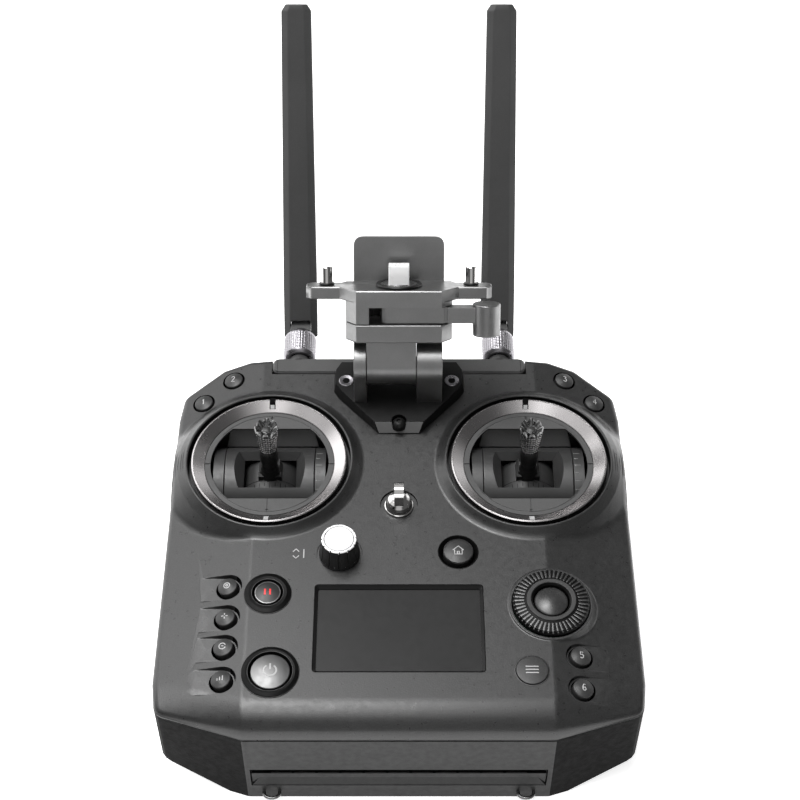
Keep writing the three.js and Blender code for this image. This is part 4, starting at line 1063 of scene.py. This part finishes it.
for name, side in SIDES:
    foot = move(side * ANTENNA_X, NUT_LOW.y, ANTENNA_Z) @ turn(-90, "X")
    nut = Piece(f"{name}_knurled_nut", f"{name}_nut", "knurled_steel", STEEL, at=foot)
    nut.lathe(NUT, sides=KNURLS * 5, closed=True, wave=nut_wave)
    nut.done(replaces=f"{name}_antenna_nut", sharp=50)

    pivot = move(side * ANTENNA_X, PIVOT_Y, ANTENNA_Z)
    knuckle = Piece(f"{name}_hinge_knuckle", f"{name}_knuckle", "dark_plastic", RAIL, GUNMETAL, at=pivot)
    low = NUT_HIGH.y - PIVOT_Y
    waist = [(-5.9, low + 0.4), (5.9, low + 0.4), (5.7, low + 2.6), (5.3, -1.0), (5.3, 0), (-5.3, 0),
             (-5.3, -1.0), (-5.7, low + 2.6)]
    knuckle.prism(waist, -KNUCKLE_HALF, KNUCKLE_HALF)
    knuckle.prism(arc(KNUCKLE_HALF, -90, 90, 17), -5.3, 5.3, at=STANDING)
    collar = [(0, -7.6), (3.9, -7.6), (3.9, 0.3), (6.4, 0.3), (6.4, 0.9), (5.6, 1.4), (0, 1.4)]
    knuckle.lathe([(r, low + z) for r, z in collar], at=turn(-90, "X"), sides=40, material=1)
    knuckle.done(bevel=0.45, segments=3, angle=40, replaces=f"{name}_antenna_knuckle", weld=False)

    tilted = pivot @ turn(BLADE_RISE, "X")
    blade = Piece(f"{name}_antenna_paddle", f"{name}_blade", "dark_plastic", ANTENNA, at=tilted)
    rings = [blade_ring(-4.4, BLADE_BASE), blade_ring(24, BLADE_BASE),
             blade_ring(BLADE_LENGTH - 3.4, BLADE_TIP),
             [(x * 0.72, BLADE_LENGTH, z * 0.8) for x, _, z in blade_ring(0, BLADE_TIP)]]
    walls = [[8 * r + i, 8 * r + 8 + i, 8 * r + 8 + (i + 1) % 8, 8 * r + (i + 1) % 8]
             for r in range(3) for i in range(8)]
    blade.add([p for ring_points in rings for p in ring_points],
              walls + [list(range(8)), list(range(24, 32))[::-1]])
    fork = [(-FORK, -9), (FORK, -9), (FORK, 3.6), (FORK - 1, 5.2), (1 - FORK, 5.2), (-FORK, 3.6)]
    slot = cutter(tilted).prism(fork, -9, 9)
    blade.done(bevel=0.5, segments=3, angle=24, cuts=(slot,), replaces=f"{name}_antenna_blade", weld=False)
    joint = Piece(f"{name}_hinge_pin", f"{name}_blade", "chrome", STEEL, at=pivot)
    head = [(0, -1.2), (2.0, -1.2), (2.0, -0.25), (1.6, -0.05), (0, -0.05)]
    for s in (-1, 1):
        joint.lathe([(r, BLADE_BASE + z) for r, z in head], at=turn(90 * s, "Y"), sides=24)
    joint.done(sharp=40, weld=False)


# ------------------------------------------------------------------ monitor bracket
HINGE_Y, HINGE_Z, HINGE_R = 47.0, PANEL + 26, 11.9
LEAN = -34.0
PLATE_LOW, PLATE_TOP = box("bracket_base")[0].z, PANEL + 7.3
CHEEK_SPANS = ((-23.7, -17.1), (9.3, 22.7))
head_at = move(0, HINGE_Y, HINGE_Z) @ turn(LEAN, "X")
CLAMP_SCREW_AT = move(0, 22.9, 0)


def plate_outline(points):
    """The whole outline from its right half, counter-clockwise."""
    return points[::-1] + [(-x, y) for x, y in points]


def screw_hole():
    return cutter().rod(3.95, PLATE_LOW + 2.2, PLATE_TOP + 5, at=CLAMP_SCREW_AT, sides=48)


plate_low = [(10.8, 19.6), (14.9, 24.2), (24.6, 35), (32.4, 44), (35, 48.4), (35, 58.6), (31.8, 64.4)]
plate_high = [(13.2, 22.2), (14.7, 24), (23.9, 35.2), (31.4, 44.4), (33.9, 49), (33.9, 58.2), (31, 63.6)]
mount = Piece("bracket_mount", "root", "bracket_metal", BASE)
mount.prism(plate_outline(plate_low), PLATE_LOW, PLATE_TOP, top=plate_outline(plate_high))
rail_notch = cutter().block((-50, 50), (RAIL_LOW.y - 1, 90), (PANEL - 5, RAIL_HIGH.z))
mount.done(bevel=0.4, segments=3, angle=20, cuts=(screw_hole(), rail_notch), replaces="bracket_base",
           weld=False)

# A thin lighter skin laid over the plate's front bevel: painted highlight.
lip = Piece("bracket_lip", "root", "bracket_metal", LIP_PAINTED_HIGHLIGHT)
feet = [(10.8 + t * 2.4 - 0.35, 19.6 + t * 2.6, PLATE_LOW + t * (PLATE_TOP - PLATE_LOW)) for t in (0.05, 0.95)]
lip.stack([[(-half, y - depth, z) for half, y, z in feet] + [(half, y - depth, z) for half, y, z in feet[::-1]]
           for depth in (-0.35, 0.05)])
lip.done(cuts=(screw_hole(),), weld=False)

cheeks = Piece("bracket_cheeks", "root", "bracket_metal", BRACKET)
arch = [(HINGE_Y + y, HINGE_Z + z) for y, z in arc(HINGE_R, 0, 180, 41)]
arch += [(HINGE_Y - HINGE_R, PLATE_TOP - 1), (HINGE_Y + HINGE_R, PLATE_TOP - 1)]
for x0, x1 in CHEEK_SPANS:
    cheeks.prism(arch, x0, x1, at=STANDING)
pin_hole = cutter().rod(3.3, -40, 40, at=move(0, HINGE_Y, HINGE_Z) @ turn(90, "Y"), sides=40)
cheeks.done(bevel=0.35, segments=3, angle=40, cuts=(pin_hole,), weld=False)

screws = Piece("bracket_screws", "root", "knurled_steel", STEEL, VOID, BLACK)
washer = rounded([(0, -0.4), (4.3, -0.4), (4.3, 0.12), (4.0, 0.16), (0, 0.16)], [0, 0, 0.1, 0.05, 0])
socket = rounded([(1.75, -0.5), (3.85, -0.5), (3.85, 0.35), (3.6, 0.6), (2.0, 0.34), (1.75, 0.0)],
                 [0, 0, 0.15, 0.15, 0.1, 0])
for _, side in SIDES:
    spot = move(side * 28.3, 50.2, PLATE_TOP)
    screws.lathe(washer, at=spot, sides=48, material=2).lathe(socket, at=spot, sides=48, closed=True)
    # Each socket is a black hexagon nearly flush with the head: painted shade for the socket's hollow.
    screws.rod(1.76, -0.4, 0.19, at=spot, sides=6, material=1)
round_head = [(0, 2.3), (3.75, 2.3), (3.75, 3.9)]
round_head += [(3.75 * math.cos(a), 3.9 + 3.1 * math.sin(a)) for a in np.linspace(0.12, 1.15, 9)]
round_head += [(1.3, 6.55), (1.2, 5.6), (0, 5.6)]
screws.lathe([(r, PLATE_LOW + z) for r, z in round_head], at=CLAMP_SCREW_AT, sides=48, material=2)
screws.done(sharp=40, weld=False)

refined("bracket_neck", "bracket_arm", "bracket_metal", (BRACKET,), bevel=0.4, segments=3, angle=24)


def new_upright(piece):
    """The CAD plate above the wings gives way to one with finer corners."""
    everything = list(piece.mesh.verts) + list(piece.mesh.edges) + list(piece.mesh.faces)
    cut = bmesh.ops.bisect_plane(piece.mesh, geom=everything, plane_co=head_at @ Vector((0, 0, 41.6)),
                                 plane_no=head_at.to_3x3() @ Vector((0, 0, 1)), clear_outer=True)
    rim = [item for item in cut["geom_cut"] if isinstance(item, bmesh.types.BMEdge)]
    bmesh.ops.holes_fill(piece.mesh, edges=rim, sides=0)
    upright = filleted([(-23.8, 39), (23.8, 39), (23.8, 64.8), (-23.8, 64.8)], [0, 0, 5.2, 5.2], 9)
    piece.prism(upright, -14.9, -12.3, at=head_at @ turn(90, "X"))


LEVER_LOW, LEVER_HIGH = 24.0, 32.3
heel_room = cutter(head_at).prism([(0, 0)] + arc(16, 148, 240, 20), LEVER_LOW - 0.2, LEVER_HIGH + 0.2)
refined("bracket_wings", "bracket_head", "bracket_metal", (BRACKET,), bevel=0.4, segments=3, angle=24,
        also=new_upright, cuts=(heel_room,))

GRIP_X, GRIP_Y, GRIP_R = 45.4, -8, 7.2
arm = [(GRIP_X, -12), (GRIP_X, -4.4), (7.5, -4.4), (6.5, -2), (6.5, 2), (5, 6), (-5, 6), (-8.5, 1),
       (-9.8, -4), (-9.8, -12)]
lever = Piece("bracket_lock_lever", "bracket_lever", "bracket_metal", BRACKET, at=head_at)
lever.prism(filleted(arm, [0, 0, 1, 1, 2, 3, 3, 3, 2, 4.4], 6), LEVER_LOW, LEVER_HIGH)
lever.rod(GRIP_R, 17, 33.6, at=move(GRIP_X, GRIP_Y, 0), sides=64, edge=0.6, steps=4)
shaft_hole = cutter(head_at).rod(4.3, 20, 36)
groove = cutter(head_at).block((23.6, 25.0), (-14, -10.6), (20, 36))
lever.done(bevel=0.4, segments=3, angle=40, cuts=(shaft_hole, groove), replaces="bracket_lever")

# The tenon block's near-white colour is painted reflection of a chrome part.
tenon = Piece("locking_tenon", "bracket_tenon", "chrome", TENON_PAINTED_REFLECTION, BLACK, GUNMETAL, at=head_at)
TENON_FOOT, TENON_TOP = 41.7, 52.4
collar = [(9.6, TENON_FOOT), (12, TENON_FOOT), (12, 42.4), (11.6, 42.9), (9.6, 42.9)]
disc = [(0, TENON_FOOT), (9.6, TENON_FOOT), (9.6, 42.6), (7.3, 42.6), (7.0, 42.9), (0, 42.9)]
tenon.rod(3.9, 26, 41.5, material=2)
tenon.lathe(rounded(collar, 0.15), sides=80, material=1, closed=True)
tenon.lathe(rounded(disc, [0, 0, 0.1, 0.1, 0.1, 0]), material=2)
tenon.prism(filleted(rectangle(-5.4, 5.4, -5.4, 5.4), 0.7, 3), 42.4, TENON_TOP)
tenon.done(bevel=0.3, segments=2, angle=40, replaces="bracket_tenon", weld=False)

for name, side in SIDES:
    seat = head_at @ move(side * 37.6, 2, 41.4)
    pin = Piece(f"{name}_locating_pin", "bracket_arm", "chrome", CHROME, BLACK, at=seat)
    pin.lathe(rounded([(0, -5), (2, -5), (2, 0.5), (3.1, 0.5), (3.1, 9.4), (2.5, 10), (0, 10)],
                            [0, 0, 0, 0, 0.25, 0.2, 0]), sides=48)
    pin.lathe(rounded([(3.0, 0.3), (4, 0.3), (4, 1.0), (3.8, 1.2), (3.0, 1.2)], 0.12), sides=48,
              material=1, closed=True)
    pin.done(sharp=40, replaces=f"{name}_bracket_pin", weld=False)


# ------------------------------------------------------------------ back of the casing and inside
BATTERY_LOW, BATTERY_HIGH = box("battery_pack")


def battery_ribs(piece):
    """Grip ribs and a raised frame round the label field on the pack's outer face."""
    z, label_low, label_high = BATTERY_LOW.z, BATTERY_LOW.y + 6, BATTERY_LOW.y + 42
    for i in range(9):
        y = BATTERY_HIGH.y - 7 - 2.2 * i
        piece.block((-22, 22), (y - 0.5, y + 0.5), (z - 0.35, z + 0.4), material=1)
    for y in (label_low, label_high):
        piece.block((-34, 34), (y - 0.25, y + 0.25), (z - 0.2, z + 0.3), material=1)
    for x in (-34, 34):
        piece.block((x - 0.25, x + 0.25), (label_low, label_high), (z - 0.2, z + 0.3), material=1)


def release_ribs(piece):
    low, high = box("battery_release")
    for i in range(5):
        x = -6 + 3 * i
        piece.block((x - 0.4, x + 0.4), (low.y + 1.2, high.y - 1.2), (low.z - 0.3, low.z + 0.4), material=1)


refined("battery_case", "battery_pack", "dark_plastic", (DARK, BLACK), bevel=0.5, angle=30, also=battery_ribs)
refined("battery_latch", "battery_release", "rubber", (RUBBER, BLACK), bevel=0.3, angle=30, also=release_ribs)
for name, _ in SIDES:
    middle = centre(f"{name}_shoulder_dial")

    def hub(piece):
        piece.lathe([(0, -4.3), (6.4, -4.3), (6.8, -3.9), (6.8, 3.9), (6.4, 4.3), (0, 4.3)], at=move(*middle),
                    sides=48, material=1)

    refined(f"{name}_finger_wheel", f"{name}_shoulder_dial", "rubber", (RUBBER, KEY), bevel=0.2, angle=30,
            also=hub)
for name, mark_material in (("record", RED), ("shutter", WHITE)):
    middle, face_y = centre(f"{name}_button"), box(f"{name}_button")[1].y

    def dot(piece):
        piece.lathe([(0, -0.6), (1.6, -0.6), (1.6, 0.05), (1.3, 0.12), (0, 0.12)],
                    at=move(middle.x, face_y, middle.z) @ turn(-90, "X"), sides=32, material=1)

    refined(f"{name}_key", f"{name}_button", "key", (KEY, mark_material), bevel=0.3, angle=30, also=dot)


def board_parts(piece):
    """Chips and connectors on the front of the main board."""
    z = box("main_board")[1].z
    for i in range(14):
        x, y = -66 + 22.0 * (i % 7), -120 + 36 * (i // 7) + 5 * (i % 3)
        w, d, h = 4 + 2.2 * (i % 4), 3 + 1.9 * (i % 3), 1.2 + 0.5 * (i % 2)
        piece.block((x - w, x + w), (y - d, y + d), (z - 0.1, z + h), material=1 + i % 2)


refined("circuit_board", "main_board", "board", (BOARD, BLACK, STEEL), bevel=0.15, angle=40, also=board_parts)


def module_frame(piece):
    """A folded metal frame round the display module and its two ribbon connectors."""
    low, high = box("screen_module")
    piece.block((low.x + 3, high.x - 3), (low.y + 3, high.y - 3), (low.z - 0.3, low.z + 0.2), material=1)
    for x in (-18, 18):
        piece.block((x - 6, x + 6), (low.y + 5, low.y + 9), (low.z - 1.2, low.z), material=2)


refined("display_module", "screen_module", "dark_plastic", (BLACK, STEEL, DARK), bevel=0.2, angle=40,
        also=module_frame)


# ------------------------------------------------------------------ camera, floor and light
FLOOR_GAP, FLOOR_HALF = 0.2, 9000
paper = finish("floor_paper", 0.9, 0.9, grain=3.0, depth=0.01, mottle=0.01, specular=0.1)
paper.node_tree.nodes["Principled BSDF"].inputs["Emission Color"].default_value = (1, 1, 1, 1)
paper.node_tree.nodes["Principled BSDF"].inputs["Emission Strength"].default_value = 0.75
floor = Piece("floor", None, None, paper)
floor.prism(rectangle(-FLOOR_HALF, FLOOR_HALF, -FLOOR_HALF, FLOOR_HALF), -20, -FLOOR_GAP)
floor.done()

scene = bpy.context.scene
scene.view_settings.view_transform = "Standard"

AIM = Vector((0.54, 42.9, PANEL))
DISTANCE, ELEVATION = 940.0, math.radians(50.1)
camera = bpy.data.objects.new("camera", bpy.data.cameras.new("camera"))
scene.collection.objects.link(camera)
back = Vector((0, -math.cos(ELEVATION), math.sin(ELEVATION)))
camera.location = (AIM + back * DISTANCE) * MM
camera.rotation_euler = (-back).to_track_quat("-Z", "Y").to_euler()
camera.data.lens, camera.data.sensor_width = 78.75, 36.0
camera.data.clip_start, camera.data.clip_end = 0.05, 60
scene.camera = camera


world = bpy.data.worlds.new("studio")
world.use_nodes = True
nodes, links = world.node_tree.nodes, world.node_tree.links
sky = nodes.new("ShaderNodeTexCoord").outputs["Generated"]

def glow(direction, half, soft, radiance):
    """A round softbox in the sky: its middle, half-angle and soft edge in degrees, and brightness."""
    facing = nodes.new("ShaderNodeVectorMath")
    facing.operation = "DOT_PRODUCT"
    facing.inputs[1].default_value = Vector(direction).normalized()
    links.new(sky, facing.inputs[0])
    edge = nodes.new("ShaderNodeMapRange")
    edge.interpolation_type = "SMOOTHSTEP"
    edge.inputs["From Min"].default_value = math.cos(math.radians(half + soft))
    edge.inputs["From Max"].default_value = math.cos(math.radians(half))
    edge.inputs["To Max"].default_value = radiance
    links.new(facing.outputs["Value"], edge.inputs["Value"])
    return edge.outputs["Result"]


SOFTBOXES = (
    ((-0.25, 0.33, 0.91), 5, 13, 9.8),
    ((-0.2, 0.1, 0.97), 5, 14, 7.5),
    ((-0.14, -0.2, 0.97), 5, 14, 3.2),
    ((0.05, -0.5, 0.86), 12, 14, 0.4),
    ((-0.6, -0.05, 0.78), 8, 16, 0.8),
    ((0, -0.95, 0.3), 14, 16, 0.42),
    ((-0.75, 0.54, 0.36), 10, 22, 2.6),
    ((-0.44, 0.57, 0.69), 7, 12, 0.5),
    ((0.71, 0.64, 0.3), 6, 16, 0.5),
    ((0.5, 0.85, 0.12), 8, 16, 0.9),
    ((0, 0.54, 0.84), 6, 9, 0.45),
)
total = nodes.new("ShaderNodeValue").outputs["Value"]
total.default_value = 0.1  # the sky's own light
for softbox in SOFTBOXES:
    adding = nodes.new("ShaderNodeMath")
    links.new(total, adding.inputs[0])
    links.new(glow(*softbox), adding.inputs[1])
    total = adding.outputs["Value"]
links.new(total, nodes["Background"].inputs["Strength"])
nodes["Background"].inputs["Color"].default_value = (1, 1, 1, 1)
scene.world = world
